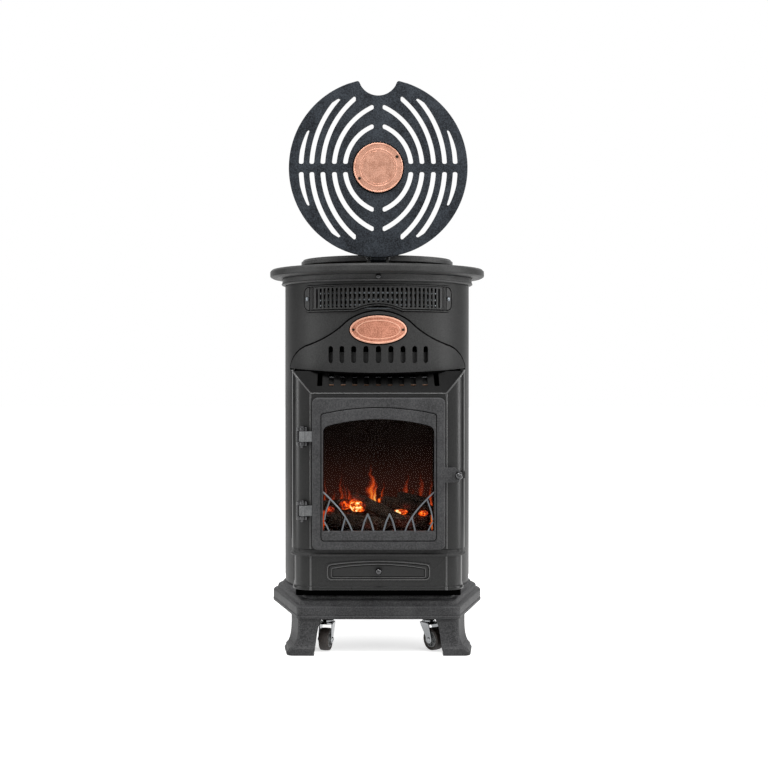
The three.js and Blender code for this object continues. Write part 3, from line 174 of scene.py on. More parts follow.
def skin(rings, closed=False):
    """Faces between rings of equal point count; open ends are capped."""
    count = len(rings[0])
    points = [Vector(point) for ring in rings for point in ring]
    faces = []
    for level in range(len(rings) - (0 if closed else 1)):
        low, high = level * count, (level + 1) % len(rings) * count
        for i in range(count):
            j = (i + 1) % count
            faces.append([low + i, low + j, high + j, high + i])
    if not closed:
        last = (len(rings) - 1) * count
        faces += [list(range(count))[::-1], [last + i for i in range(count)]]
    return points, faces


def rectangle(x0, x1, y0, y1):
    """A rectangle's four corners."""
    return [(x0, y0), (x1, y0), (x1, y1), (x0, y1)]


def oval(half, rise, steps=72):
    """Points round an ellipse with these half sizes."""
    return [(half * math.cos(TAU * k / steps), rise * math.sin(TAU * k / steps)) for k in range(steps)]


def arc(x, y, radius, start, end, steps=8):
    """Points on a circle between two angles in degrees."""
    angles = [math.radians(start + (end - start) * i / steps) for i in range(steps + 1)]
    return [(x + radius * math.cos(a), y + radius * math.sin(a)) for a in angles]


def ball(radius, height, first, last):
    """A ball's profile between two angles from its lowest point, its middle at a height."""
    angles = [math.radians(k) for k in range(first, last, 8)]
    return [(radius * math.sin(a), height - radius * math.cos(a)) for a in angles]


def bent(start, corner, end):
    """A curve between two points that is drawn towards the corner between them."""
    return [start * (1 - t) ** 2 + corner * 2 * t * (1 - t) + end * t * t
            for t in (k / 8 for k in range(9))]


def smoothed(points, steps=6):
    """A curve through the points."""
    points = [Vector(point) for point in points]
    result = []
    for i in range(len(points) - 1):
        a, b, c, d = (points[min(max(i + k, 0), len(points) - 1)] for k in (-1, 0, 1, 2))
        for k in range(steps):
            t = k / steps
            result.append(tuple(0.5 * (2 * b + (c - a) * t + (2 * a - 5 * b + 4 * c - d) * t * t
                                       + (3 * b - 3 * c + d - a) * t ** 3)))
    return result + [tuple(points[-1])]


def both_sides(half):
    """An outline from its right half, given from the bottom of its middle line round to the top."""
    return half + [(-x, y) for x, y in reversed(half) if x > 1e-6]


def filleted(corners, radius=0.0, steps=4, closed=True):
    """A polygon of (x, y) or (x, y, its own radius) with its corners rounded."""
    result = []
    count = len(corners)
    sizes = [corner[2] if len(corner) > 2 else radius for corner in corners]
    for i, corner in enumerate(corners):
        at, size = Vector(corner[:2]), sizes[i]
        if size <= 0 or (not closed and i in (0, count - 1)):
            result.append(tuple(at))
            continue
        before, after = (Vector(corners[(i + k) % count][:2]) - at for k in SIDES)
        room = [side.length * (0.49 if sizes[(i + k) % count] > 0 else 0.97)
                for side, k in zip((before, after), SIDES)]
        half = before.angle(after) / 2
        reach = min(size / math.tan(half), *room)
        start, end = at + before.normalized() * reach, at + after.normalized() * reach
        inward = (before.normalized() + after.normalized()).normalized()
        middle = at + inward * (reach / math.cos(half))
        first, last = ((point - middle).normalized() for point in (start, end))
        for k in range(steps + 1):
            result.append(tuple(middle + first.slerp(last, k / steps) * (reach * math.tan(half))))
    return result


def drawn_in(outline, distance):
    """A closed outline moved inwards."""
    points = [Vector(point) for point in outline]
    count = len(points)
    area = sum(points[i - 1].cross(points[i]) for i in range(count))
    side = math.copysign(1, area) * distance
    result = []
    for i, at in enumerate(points):
        edges = (at - points[i - 1]).normalized(), (points[(i + 1) % count] - at).normalized()
        across = Vector((-edges[0].y - edges[1].y, edges[0].x + edges[1].x))
        result.append(tuple(at + across * (2 * side / max(across.length_squared, 1.2))))
    return result


def wall(outline, outer, inner, low=0.0, high=0.35):
    """A closed wall that follows an outline, between two distances inwards and two heights."""
    lines = zip(drawn_in(outline, outer), drawn_in(outline, inner))
    return skin([[(*p, low), (*p, high), (*q, high), (*q, low)] for p, q in lines], closed=True)


def turned(profile, steps=144):
    """A profile of (radius, height) turned about the vertical axis."""
    rings = []
    for i in range(steps):
        angle = TAU * i / steps
        rings.append([(r * math.cos(angle), r * math.sin(angle), z) for r, z in profile])
    return skin(rings, closed=True)


def rod(start, end, radius, rounding=0.3, steps=24):
    """A round bar between two points, with softened ends."""
    start, end = Vector(start), Vector(end)
    length = (end - start).length
    profile = filleted([(0, 0, 0), (radius, 0), (radius, length), (0, length, 0)], rounding, 3)
    turn = Vector((0, 0, 1)).rotation_difference(end - start)
    return mapped(turned(profile, steps), lambda x, y, z: turn @ Vector((x, y, z)) + start)


def tube(path, radius, sides=10, closed=False):
    """A round wire along a path of points."""
    path = [Vector(point) for point in path]
    count = len(path)
    rings, side = [], None
    for i, at in enumerate(path):
        ahead = path[(i + 1) % count] if closed or i + 1 < count else at
        behind = path[i - 1] if closed or i else at
        along_it = (ahead - behind).normalized()
        side = side or along_it.orthogonal()
        side = (side - along_it * along_it.dot(side)).normalized()
        other = along_it.cross(side)
        turns = [TAU * k / sides for k in range(sides)]
        rings.append([at + radius * (side * math.cos(t) + other * math.sin(t)) for t in turns])
    return skin(rings, closed=closed)


def plain(edges):
    """A bmesh as a shape, freed."""
    edges.verts.index_update()
    shape = [v.co.copy() for v in edges.verts], [[v.index for v in f.verts] for f in edges.faces]
    edges.free()
    return shape


def from_mesh(mesh):
    """A mesh as a shape, with the mesh removed."""
    shape = [v.co.copy() for v in mesh.vertices], [list(p.vertices) for p in mesh.polygons]
    bpy.data.meshes.remove(mesh)
    return shape


def merged(shape):
    """The shape as a bmesh, its doubles merged and a face that comes twice left out."""
    edges = bmesh.new()
    made = [edges.verts.new(point) for point in shape[0]]
    for face in shape[1]:
        try:
            edges.faces.new([made[i] for i in face])
        except ValueError:
            continue
    bmesh.ops.remove_doubles(edges, verts=edges.verts[:], dist=1e-4)
    return edges


def rounded(edges, which, width, segments):
    """Rounds some edges of a bmesh and gives it back as a shape."""
    bmesh.ops.bevel(edges, geom=which, offset=width, segments=segments, profile=0.5,
                    affect="EDGES", clamp_overlap=True)
    return plain(edges)


def soften(shape, width, angle=32):
    """The shape with the edges that turn by more than an angle rounded over."""
    edges = merged(shape)
    bmesh.ops.recalc_face_normals(edges, faces=edges.faces[:])
    sharp = [e for e in edges.edges if len(e.link_faces) == 2
             and e.calc_face_angle() > math.radians(angle)]
    return rounded(edges, sharp, width, 3)


def block(x0, x1, y0, y1, z0, z1, rounding=1.0, steps=2):
    """A box with rounded edges."""
    edges = bmesh.new()
    bmesh.ops.create_cube(edges, size=1)
    for vertex in edges.verts:
        x, y, z = vertex.co
        vertex.co = ((x0 + x1) / 2 + x * (x1 - x0), (y0 + y1) / 2 + y * (y1 - y0),
                     (z0 + z1) / 2 + z * (z1 - z0))
    return rounded(edges, edges.edges[:], rounding, steps) if rounding else plain(edges)


def plate(outline, holes=(), thickness=2.0, rounding=0.6, steps=3):
    """A flat plate in x and y, from z = 0 up to its thickness, with rounded edges all round."""
    curve = bpy.data.curves.new("plate", "CURVE")
    curve.dimensions, curve.fill_mode = "2D", "BOTH"
    curve.extrude, curve.offset = thickness / 2 - rounding, -rounding
    curve.bevel_depth, curve.bevel_resolution = rounding, steps
    for loop in [outline, *holes]:
        spline = curve.splines.new("POLY")
        spline.points.add(len(loop) - 1)
        for point, (x, y) in zip(spline.points, loop):
            point.co = (x, y, 0, 1)
        spline.use_cyclic_u = True
    carrier = bpy.data.objects.new("plate", curve)
    shape = from_mesh(bpy.data.meshes.new_from_object(carrier))
    bpy.data.objects.remove(carrier)
    bpy.data.curves.remove(curve)
    return moved(shape, z=thickness / 2)


def upright(shape, front):
    """A flat shape stood up: its y becomes height, and its upper face looks forward at y = front."""
    top = max(point[2] for point in shape[0])
    return mapped(shape, lambda x, y, z: (x, front + top - z, y))


def wrapped(shape, inner, pitch=9.0):
    """A flat shape bent round the drum: x runs along the drum and z stands out from a radius."""
    edges = merged(shape)
    reach = max(abs(point[0]) for point in shape[0])
    for i in range(-int(reach / pitch), int(reach / pitch) + 1):
        everything = edges.verts[:] + edges.edges[:] + edges.faces[:]
        bmesh.ops.bisect_plane(edges, geom=everything, dist=1e-5, plane_co=(i * pitch, 0, 0),
                               plane_no=(1, 0, 0))

    def bend(x, y, z):
        angle = x / RADIUS
        return ((inner + z) * math.sin(angle), -(inner + z) * math.cos(angle), y)
    return mapped(plain(edges), bend)


def at_back(shape):
    """A shape that was bent round the drum's front, turned to its back."""
    return turned_by(shape, 180)


def along(degrees):
    """A length along the drum's surface, from the middle of its front."""
    return math.radians(degrees) * RADIUS


def on_drum(radius, degrees, z):
    """The point at a radius from the drum's axis, an angle from its front, and a height."""
    angle = math.radians(degrees)
    return Vector((radius * math.sin(angle), -radius * math.cos(angle), z))


# ---------------------------------------------------------------- nodes
def add(tree, kind, links=None, **settings):
    """Adds a node with its settings; links gives a socket a value, an output, a node whose first
    output is meant, or a list of them."""
    made = tree.nodes.new(kind)
    for key, value in settings.items():
        setattr(made, key, value)
    for socket, given in (links or {}).items():
        target = made.inputs[socket]
        for value in given if isinstance(given, list) else [given]:
            if isinstance(value, bpy.types.Node):
                value = value.outputs[0]
            if isinstance(value, bpy.types.NodeSocket):
                tree.links.new(value, target)
            else:
                target.default_value = value
    return made


def key_of(label):
    """A socket's label as the name that this script gives it."""
    return label.lower().replace(" ", "_")


def geometry_tree(name, **inputs):
    """A Geometry Nodes tree with named inputs, given as name=(socket type, value): what adds a node
    to it, and its inputs."""
    tree = bpy.data.node_groups.new(name, "GeometryNodeTree")
    tree.interface.new_socket("Geometry", in_out="INPUT", socket_type="NodeSocketGeometry")
    for label, (kind, value) in inputs.items():
        socket = tree.interface.new_socket(label.replace("_", " ").title(), in_out="INPUT",
                                           socket_type="NodeSocket" + kind)
        if value is not None:
            socket.default_value = value
    tree.interface.new_socket("Geometry", in_out="OUTPUT", socket_type="NodeSocketGeometry")
    new = partial(add, tree)
    given = new("NodeGroupInput").outputs[:-1]
    return new, SimpleNamespace(**{key_of(socket.name): socket for socket in given})


def finish_tree(new, geometry, material):
    """Ends a tree in Realize Instances and Set Material, and gives the tree."""
    real = new("GeometryNodeRealizeInstances", {"Geometry": geometry})
    dressed = new("GeometryNodeSetMaterial", {"Geometry": real, "Material": material})
    return new("NodeGroupOutput", {"Geometry": dressed}).id_data


def filled_plate(new, curves, thickness):
    """Fills flat curves, with a hole for each inner one, and gives the face its thickness."""
    curves = new("GeometryNodeJoinGeometry", {0: curves})
    face = new("GeometryNodeFillCurve", {"Curve": curves})
    raised = new("GeometryNodeExtrudeMesh", {"Mesh": face, "Individual": False,
                                             "Offset Scale": thickness})
    back = new("GeometryNodeFlipFaces", {"Mesh": face})
    both = new("GeometryNodeJoinGeometry", {0: [raised, back]})
    return new("GeometryNodeMergeByDistance", {"Geometry": both, "Distance": 0.001})


def slotted_tree():
    """A plate with rows of round-ended slots; a single row's lower ends may rise in an arch."""
    new, given = geometry_tree(
        "slotted_plate", slot_width=("Float", 9.0), slot_height=("Float", 32.0),
        pitch=("Float", 22.0), count=("Int", 9), rows=("Int", 1), row_height=("Float", 0.0),
        row_step=("Float", 100.0), end_radius=("Float", 4.0), arch_rise=("Float", 0.0),
        arch_half=("Float", 100.0), thickness=("Float", 2.0), material=("Material", None))
    slot = new("GeometryNodeCurvePrimitiveQuadrilateral", {"Width": given.slot_width,
                                                           "Height": given.slot_height})
    slot = new("GeometryNodeFilletCurve", {"Curve": slot, "Radius": given.end_radius, "Count": 5,
                                           "Limit Radius": True}, mode="POLY")
    steps = new("ShaderNodeMath", {0: given.count, 1: 1.0}, operation="SUBTRACT")
    reach = new("ShaderNodeMath", {0: steps, 1: given.pitch}, operation="MULTIPLY")
    first = new("ShaderNodeMath", {0: reach, 1: -0.5}, operation="MULTIPLY")
    start = new("ShaderNodeCombineXYZ", {"X": first, "Y": given.row_height})
    step = new("ShaderNodeCombineXYZ", {"X": given.pitch})
    row = new("GeometryNodeMeshLine", {"Count": given.count, "Start Location": start,
                                       "Offset": step}, mode="OFFSET")
    above = new("ShaderNodeCombineXYZ", {"Y": given.row_step})
    levels = new("GeometryNodeMeshLine", {"Count": given.rows, "Offset": above}, mode="OFFSET")
    field = new("GeometryNodeInstanceOnPoints", {"Points": levels, "Instance": row})
    field = new("GeometryNodeRealizeInstances", {"Geometry": field})
    slots = new("GeometryNodeInstanceOnPoints", {"Points": field, "Instance": slot})
    slots = new("GeometryNodeRealizeInstances", {"Geometry": slots})
    place = new("ShaderNodeSeparateXYZ", {0: new("GeometryNodeInputPosition")}).outputs
    low = new("ShaderNodeMath", {0: place[1], 1: given.row_height}, operation="LESS_THAN")
    across = new("ShaderNodeMath", {0: place[0], 1: given.arch_half}, operation="DIVIDE")
    square = new("ShaderNodeMath", {0: across, 1: across}, operation="MULTIPLY")
    share = new("ShaderNodeMath", {0: 1.0, 1: square}, operation="SUBTRACT", use_clamp=True)
    rise = new("ShaderNodeMath", {0: share, 1: given.arch_rise}, operation="MULTIPLY")
    lift = new("ShaderNodeMath", {0: rise, 1: low}, operation="MULTIPLY")
    offset = new("ShaderNodeCombineXYZ", {"Y": lift})
    slots = new("GeometryNodeSetPosition", {"Geometry": slots, "Offset": offset})
    outline = new("GeometryNodeMeshToCurve", {"Mesh": given.geometry})
    return finish_tree(new, filled_plate(new, [outline, slots], given.thickness), given.material)


def quartered_tree():
    """A plate whose holes are drawn for one quarter and mirrored into the other three."""
    new, given = geometry_tree("quartered_plate", quarter=("Object", None),
                               thickness=("Float", 7.0), material=("Material", None))
    outline = new("GeometryNodeMeshToCurve", {"Mesh": given.geometry})
    drawn = new("GeometryNodeObjectInfo", {"Object": given.quarter}).outputs["Geometry"]
    holes = new("GeometryNodeMeshToCurve", {"Mesh": drawn})
    quarters = [new("GeometryNodeTransform", {"Geometry": holes, "Scale": (x, y, 1)})
                for x in (1, -1) for y in (1, -1)]
    return finish_tree(new, filled_plate(new, [outline, *quarters], given.thickness), given.material)


def wires_tree():
    """Round wires along drawn lines, with their mirror image on the other side."""
    new, given = geometry_tree("mirrored_wires", wire_radius=("Float", 1.6),
                               material=("Material", None))
    lines = new("GeometryNodeMeshToCurve", {"Mesh": given.geometry})
    section = new("GeometryNodeCurvePrimitiveCircle", {"Resolution": 12,
                                                       "Radius": given.wire_radius})
    wires = new("GeometryNodeCurveToMesh", {"Curve": lines, "Profile Curve": section,
                                            "Fill Caps": True})
    other = new("GeometryNodeTransform", {"Geometry": wires, "Scale": (-1, 1, 1)})
    other = new("GeometryNodeFlipFaces", {"Mesh": other})
    both = new("GeometryNodeJoinGeometry", {0: [wires, other]})
    return finish_tree(new, both, given.material)


def copies_tree():
    """Copies of the drawn piece, a step apart and spread over a turn about the vertical axis."""
    new, given = geometry_tree("copies", count=("Int", 6), step=("Vector", (0, 0, 0)),
                               turn=("Float", 0.0), material=("Material", None))
    line = new("GeometryNodeMeshLine", {"Count": given.count, "Offset": given.step}, mode="OFFSET")
    index = new("GeometryNodeInputIndex")
    share = new("ShaderNodeMath", {0: index, 1: given.count}, operation="DIVIDE")
    angle = new("ShaderNodeMath", {0: share, 1: given.turn}, operation="MULTIPLY")
    turn = new("ShaderNodeCombineXYZ", {"Z": angle})
    copies = new("GeometryNodeInstanceOnPoints", {"Points": line, "Instance": given.geometry,
                                                  "Rotation": turn})
    return finish_tree(new, copies, given.material)


def coals_tree():
    """Small broken coals scattered over the drawn bed, each turned and sized by a fixed seed."""
    new, given = geometry_tree("coals", density=("Float", 0.01), coal_size=("Float", 5.0),
                               seed=("Int", 3), material=("Material", None))
    scatter = new("GeometryNodeDistributePointsOnFaces",
                  {"Mesh": given.geometry, "Density": given.density, "Seed": given.seed})
    lump = new("GeometryNodeMeshIcoSphere", {"Radius": given.coal_size, "Subdivisions": 2})
    rough = new("ShaderNodeTexNoise", {"Scale": 0.35, "Detail": 2.0}).outputs["Color"]
    shift = new("ShaderNodeVectorMath", {0: rough, 1: (0.5, 0.5, 0.5)}, operation="SUBTRACT")
    shift = new("ShaderNodeVectorMath", {0: shift, "Scale": 7.0}, operation="SCALE")
    lump = new("GeometryNodeSetPosition", {"Geometry": lump, "Offset": shift})
    size = new("FunctionNodeRandomValue", {"Min": (0.5, 0.5, 0.35), "Max": (1.3, 1.1, 0.9),
                                           "Seed": given.seed}, data_type="FLOAT_VECTOR")
    turn = new("FunctionNodeRandomValue", {"Max": (TAU, TAU, TAU), "Seed": given.seed},
               data_type="FLOAT_VECTOR")
    coals = new("GeometryNodeInstanceOnPoints", {"Points": scatter, "Instance": lump,
                                                 "Rotation": turn, "Scale": size})
    return finish_tree(new, coals, given.material)


# ---------------------------------------------------------------- finished pieces
def placed(name, data):
    """A new object in the scene."""
    made = bpy.data.objects.new(name, data)
    bpy.context.scene.collection.objects.link(made)
    return made


def evaluated_mesh(carrier):
    """What an object's modifiers make of it, as a plain mesh."""
    evaluated = carrier.evaluated_get(bpy.context.evaluated_depsgraph_get())
    return bpy.data.meshes.new_from_object(evaluated)


def drawing(points, edges=(), faces=()):
    """An object that holds a drawing for a tree."""
    mesh = bpy.data.meshes.new("drawing")
    mesh.from_pydata(points, edges, faces)
    return placed("drawing", mesh)


def outlines(*closed_lines):
    """Closed outlines as the points and edges of a drawing."""
    points, edges = [], []
    for line in closed_lines:
        start, count = len(points), len(line)
        points += [(x, y, 0) for x, y in line]
        edges += [(start + i, start + (i + 1) % count) for i in range(count)]
    return points, edges


def rub_out(carrier):
    """Removes a drawing."""
    mesh = carrier.data
    bpy.data.objects.remove(carrier)
    bpy.data.meshes.remove(mesh)


def grown(carrier, tree, bevel=None, **values):
    """The shape that a tree makes from a drawing, which is removed."""
    modifier = carrier.modifiers.new("grow", "NODES")
    modifier.node_group = tree
    for socket in tree.interface.items_tree:
        if socket.in_out == "INPUT" and key_of(socket.name) in values:
            modifier[socket.identifier] = values[key_of(socket.name)]
    if bevel:
        round_off = carrier.modifiers.new("round_off", "BEVEL")
        round_off.width, round_off.segments, round_off.limit_method = bevel, 3, "ANGLE"
        round_off.use_clamp_overlap = False
    result = from_mesh(evaluated_mesh(carrier))
    rub_out(carrier)
    return result


def ringed(shape, count, finish):
    """Copies of a shape set out round the vertical axis."""
    return grown(drawing(shape[0], faces=shape[1]), COPIES, count=count, turn=TAU, material=finish)


def piece(name, shape, finish, node="", body="stove", sharp=32):
    """Makes one piece of the stove in the frame's metres, facing out, smooth up to an angle. It may
    stand for a CAD node."""
    points, faces = shape
    mesh = bpy.data.meshes.new(name)
    mesh.from_pydata([(x * MM, y * MM + AXIS_Y, z * MM) for x, y, z in points], [], faces)
    edges = bmesh.new()
    edges.from_mesh(mesh)
    bmesh.ops.remove_doubles(edges, verts=edges.verts[:], dist=2e-6)
    bmesh.ops.dissolve_degenerate(edges, edges=edges.edges[:], dist=1e-7)
    bmesh.ops.recalc_face_normals(edges, faces=edges.faces[:])
    edges.to_mesh(mesh)
    edges.free()
    mesh.shade_smooth()
    mesh.set_sharp_from_angle(angle=math.radians(sharp))
    made = placed(name, mesh)
    made.modifiers.new("weighted", "WEIGHTED_NORMAL").keep_sharp = True
    settled = evaluated_mesh(made)
    made.modifiers.clear()
    made.data = settled
    settled.name = name
    bpy.data.meshes.remove(mesh)
    give(made, finish)
    if node:
        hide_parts(node)
    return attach(made, body)


def give(target, finish):
    """Gives an object one finish. A CAD node that is kept as it is takes its finish here."""
    target.data.materials.clear()
    target.data.materials.append(finish)


# ---------------------------------------------------------------- finishes
def colour(text):
    """An sRGB hex colour as linear RGBA."""
    channels = [int(text[i:i + 2], 16) / 255 for i in (1, 3, 5)]
    return (*(c / 12.92 if c <= 0.04045 else ((c + 0.055) / 1.055) ** 2.4 for c in channels), 1.0)


def emptied(holder):
    """What adds a node to a material or a world, whose tree is emptied first."""
    holder.use_nodes = True
    holder.node_tree.nodes.clear()
    return partial(add, holder.node_tree)


def finish(name, **sockets):
    """A material with one shader whose own sockets are set, and the place that its patterns read."""
    material = bpy.data.materials.new(name)
    new = emptied(material)
    shader = new("ShaderNodeBsdfPrincipled", {label.replace("_", " ").title().replace("Ior", "IOR"): value
                                              for label, value in sockets.items()})
    new("ShaderNodeOutputMaterial", {"Surface": shader})
    place = new("ShaderNodeTexCoord").outputs["Object"]
    return SimpleNamespace(material=material, new=new, shader=shader, place=place)


def worked(made, relief, tones=None, gloss=None):
    """Links a finish's patterns to its shader and gives the material. relief is a height, its
    strength and its depth in millimetres; tones a share and the colours at 0 and 1; and gloss a
    pattern and the roughness at its lows and its highs."""
    height, strength, depth = relief
    bump = made.new("ShaderNodeBump", {"Height": height, "Strength": strength,
                                       "Distance": depth * MM})
    linked = {"Normal": bump.outputs[0]}
    if tones:
        share, dark, light = tones
        mix = made.new("ShaderNodeMix", {0: share, 6: colour(dark), 7: colour(light)},
                       data_type="RGBA")
        linked["Base Color"] = mix.outputs[2]
    if gloss:
        pattern, low, high = gloss
        sheen = made.new("ShaderNodeMapRange", {0: pattern, 1: 0.3, 2: 0.7, 3: low, 4: high})
        linked["Roughness"] = sheen.outputs[0]
    for socket, output in linked.items():
        made.material.node_tree.links.new(output, made.shader.inputs[socket])
    return made.material


def lit_through(made, heat, strength, tones):
    """Makes a finish glow with a heat from 0 to 1, in tones that are given by their place."""
    ramp = made.new("ShaderNodeValToRGB", {"Fac": heat})
    stops = ramp.color_ramp.elements
    while len(stops) < len(tones):
        stops.new(0.5)
    for stop, (at, tone) in zip(stops, tones.items()):
        stop.position, stop.color = at, colour(tone)
    made.material.node_tree.links.new(ramp.outputs[0], made.shader.inputs["Emission Color"])
    made.shader.inputs["Emission Strength"].default_value = strength


def cast_iron(name, light, dark, grain, depth, roughness, shine=0.1):
    """Sand-cast iron under heat-proof paint. The sand leaves an even pebbled skin that breaks up
    each highlight, and the paint lies a little thicker in some patches. Real grain is near 0.6 mm;
    it is drawn at the size given, in millimetres, so that it shows."""
    made = finish(name, metallic=0.0, specular_ior_level=shine)
    patches = made.new("ShaderNodeTexNoise", {"Vector": made.place, "Scale": 28.0, "Detail": 3.0})
    pebbles = made.new("ShaderNodeTexNoise", {"Vector": made.place, "Scale": 1 / (grain * MM),
                                              "Detail": 2.0, "Roughness": 0.6})
    speckle = made.new("ShaderNodeMapRange", {0: pebbles, 1: 0.38, 2: 0.66, 3: 0.0, 4: 0.75})
    patch = made.new("ShaderNodeMapRange", {0: patches, 1: 0.35, 2: 0.65, 3: 0.0, 4: 0.35})
    share = made.new("ShaderNodeMath", {0: speckle, 1: patch}, operation="ADD", use_clamp=True)
    return worked(made, (pebbles, 0.5, depth), (share, dark, light),
                  (patches, roughness - 0.06, roughness + 0.06))


def sheet_paint(name, light, dark, roughness, shine=0.09):
    """Rolled sheet steel under sprayed satin paint: nearly smooth, with a faint orange-peel texture
    that softens reflections. The peel is about 3 mm across, drawn at 4 mm, with a fine dry speck
    over it."""
    made = finish(name, metallic=0.0, specular_ior_level=shine)
    peel, speck, cloud = (
        made.new("ShaderNodeTexNoise", {"Vector": made.place, "Scale": scale, "Detail": detail})
        for scale, detail in ((250.0, 1.0), (620.0, 2.0), (9.0, 2.0)))
    share = made.new("ShaderNodeMapRange", {0: speck, 1: 0.36, 2: 0.68, 3: 0.0, 4: 1.0})
    return worked(made, (peel, 0.18, 0.25), (share, dark, light),
                  (cloud, roughness - 0.04, roughness + 0.04))


def plated_steel(name, tone, roughness, wear):
    """Drawn or plated steel: a metal whose fine polishing marks make its roughness uneven. The
    marks are near 0.3 mm wide, drawn at 1.5 mm along the height."""
    made = finish(name, metallic=1.0, base_color=colour(tone))
    stretch = made.new("ShaderNodeMapping", {"Vector": made.place, "Scale": (1.0, 1.0, 0.15)})
    marks = made.new("ShaderNodeTexNoise", {"Vector": stretch, "Scale": 660.0, "Detail": 3.0})
    return worked(made, (marks, 0.15, 0.1), gloss=(marks, roughness - wear, roughness + wear))


def pressed_copper(name, light, dark):
    """Pressed sheet copper under clear lacquer: a warm metal with a stippled ground about 1.2 mm
    across, drawn at 1.8 mm, and slightly browner hollows where polish hasn't reached."""
    made = finish(name, metallic=1.0)
    stipple = made.new("ShaderNodeTexVoronoi", {"Vector": made.place, "Scale": 560.0})
    tarnish = made.new("ShaderNodeTexNoise", {"Vector": made.place, "Scale": 70.0, "Detail": 4.0})
    hollow = made.new("ShaderNodeMath", {0: stipple, 1: tarnish}, operation="MULTIPLY")
    share = made.new("ShaderNodeMapRange", {0: hollow, 1: 0.05, 2: 0.34})
    return worked(made, (stipple, 0.45, 0.35), (share, dark, light), (tarnish, 0.34, 0.5))


def moulded(name, light, dark, roughness):
    """Moulded rubber, nylon or ceramic: a dull skin with a fine even grain and dusty high spots.
    The grain is near 0.5 mm, drawn at 1.6 mm."""
    made = finish(name, metallic=0.0)
    grain = made.new("ShaderNodeTexNoise", {"Vector": made.place, "Scale": 1 / (1.6 * MM),
                                            "Detail": 3.0})
    share = made.new("ShaderNodeMapRange", {0: grain, 1: 0.4, 2: 0.65})
    return worked(made, (grain, 0.3, 0.2), (share, dark, light),
                  (grain, roughness + 0.06, roughness - 0.06))


def smoked_glass():
    """Smoked safety glass with an anti-glare face: it darkens the fire and mirrors little. Faint
    smears change its gloss."""
    made = finish("smoked_safety_glass", base_color=colour("#b9b0a8"), transmission_weight=1.0,
                  ior=1.1)
    smear = made.new("ShaderNodeTexNoise", {"Vector": made.place, "Scale": 14.0, "Detail": 2.0})
    gloss = made.new("ShaderNodeMapRange", {0: smear, 1: 0.4, 2: 0.7, 3: 0.0, 4: 0.03})
    made.material.node_tree.links.new(gloss.outputs[0], made.shader.inputs["Roughness"])
    return made.material


# Where the fire glows: x, y and z in millimetres from the drum's axis, reach, and heat
HOT_SPOTS = [
    (-40, -130, 266, 17, 1.0), (-50, -132, 257, 12, 0.92), (-46, -122, 277, 13, 0.6),
    (-64, -124, 267, 12, 0.5), (8, -106, 266, 17, 0.62), (36, -142, 256, 8, 0.95),
    (48, -138, 254, 12, 0.55), (86, -136, 252, 12, 0.6), (54, -122, 265, 8, 0.42),
    (-92, -122, 256, 12, 0.45), (-22, -188, 222, 26, 0.36), (38, -188, 222, 30, 0.4),
    (82, -184, 222, 24, 0.42), (-72, -184, 222, 22, 0.28), (62, -150, 236, 20, 0.2),
]


def burning(name, light, dark, grain, glow, share_of_heat=1.0):
    """Painted resin or ceramic lit from inside: charred where it is cold, and translucent red,
    orange and yellow round each hot spot, broken up by bark or coal texture."""
    made = finish(name, metallic=0.0, roughness=0.9)
    bark = made.new("ShaderNodeTexNoise", {"Vector": made.place, "Scale": 1 / (grain * MM),
                                           "Detail": 5.0, "Roughness": 0.65})
    ash = made.new("ShaderNodeMapRange", {0: bark, 1: 0.42, 2: 0.68})
    stir = made.new("ShaderNodeTexNoise", {"Vector": made.place, "Scale": 110.0, "Detail": 3.0})
    stir = made.new("ShaderNodeVectorMath", {0: stir.outputs["Color"], 1: (0.5, 0.5, 0.5)},
                    operation="SUBTRACT")
    stir = made.new("ShaderNodeVectorMath", {0: stir, "Scale": 0.03}, operation="SCALE")
    stirred = made.new("ShaderNodeVectorMath", {0: made.place, 1: stir})
    heat = None
    for x, y, z, reach, warmth in HOT_SPOTS:
        centre = (x * MM, y * MM + AXIS_Y, z * MM)
        away = made.new("ShaderNodeVectorMath", {0: stirred, 1: centre}, operation="DISTANCE")
        near = made.new("ShaderNodeMapRange", {0: away.outputs["Value"], 1: 0.35 * reach * MM,
                                               2: 1.25 * reach * MM, 3: warmth, 4: 0.0},
                        interpolation_type="SMOOTHSTEP")
        heat = made.new("ShaderNodeMath", {0: heat, 1: near}, operation="MAXIMUM") if heat else near
    broken = made.new("ShaderNodeMapRange", {0: bark, 1: 0.38, 2: 0.6, 3: 0.1, 4: 1.0})
    seen = made.new("ShaderNodeMath", {0: heat, 1: broken}, operation="MULTIPLY")
    seen = made.new("ShaderNodeMath", {0: seen, 1: share_of_heat}, operation="MULTIPLY")
    lit_through(made, seen, glow, {0.0: "#000000", 0.12: "#3a0c04", 0.35: "#b8300c",
                                   0.6: "#ff7a1a", 0.82: "#ffc24a", 1.0: "#fff3c4"})
    return worked(made, (bark, 0.8, 1.2), (ash, dark, light))


# Flames on the screen behind the logs: x, foot and tip in millimetres, half width, and brightness
FLAMES = [
    (-102, 228, 336, 4, 0.5), (-71, 240, 346, 4, 0.42), (-63, 240, 328, 3.5, 0.34),
    (-56, 246, 308, 4, 0.7), (-11, 272, 356, 8, 0.5), (-11, 250, 350, 5, 0.3),
    (-3, 236, 316, 4.5, 1.7), (10, 240, 316, 3, 1.1), (14, 238, 292, 6, 0.7),
    (44, 246, 308, 4, 0.6), (57, 250, 340, 5, 0.5), (84, 244, 344, 6, 0.4),
    (105, 230, 330, 4.5, 0.6), (-86, 236, 300, 4, 0.5), (70, 240, 304, 5, 0.4),
    (-38, 244, 304, 9, 0.3),
]


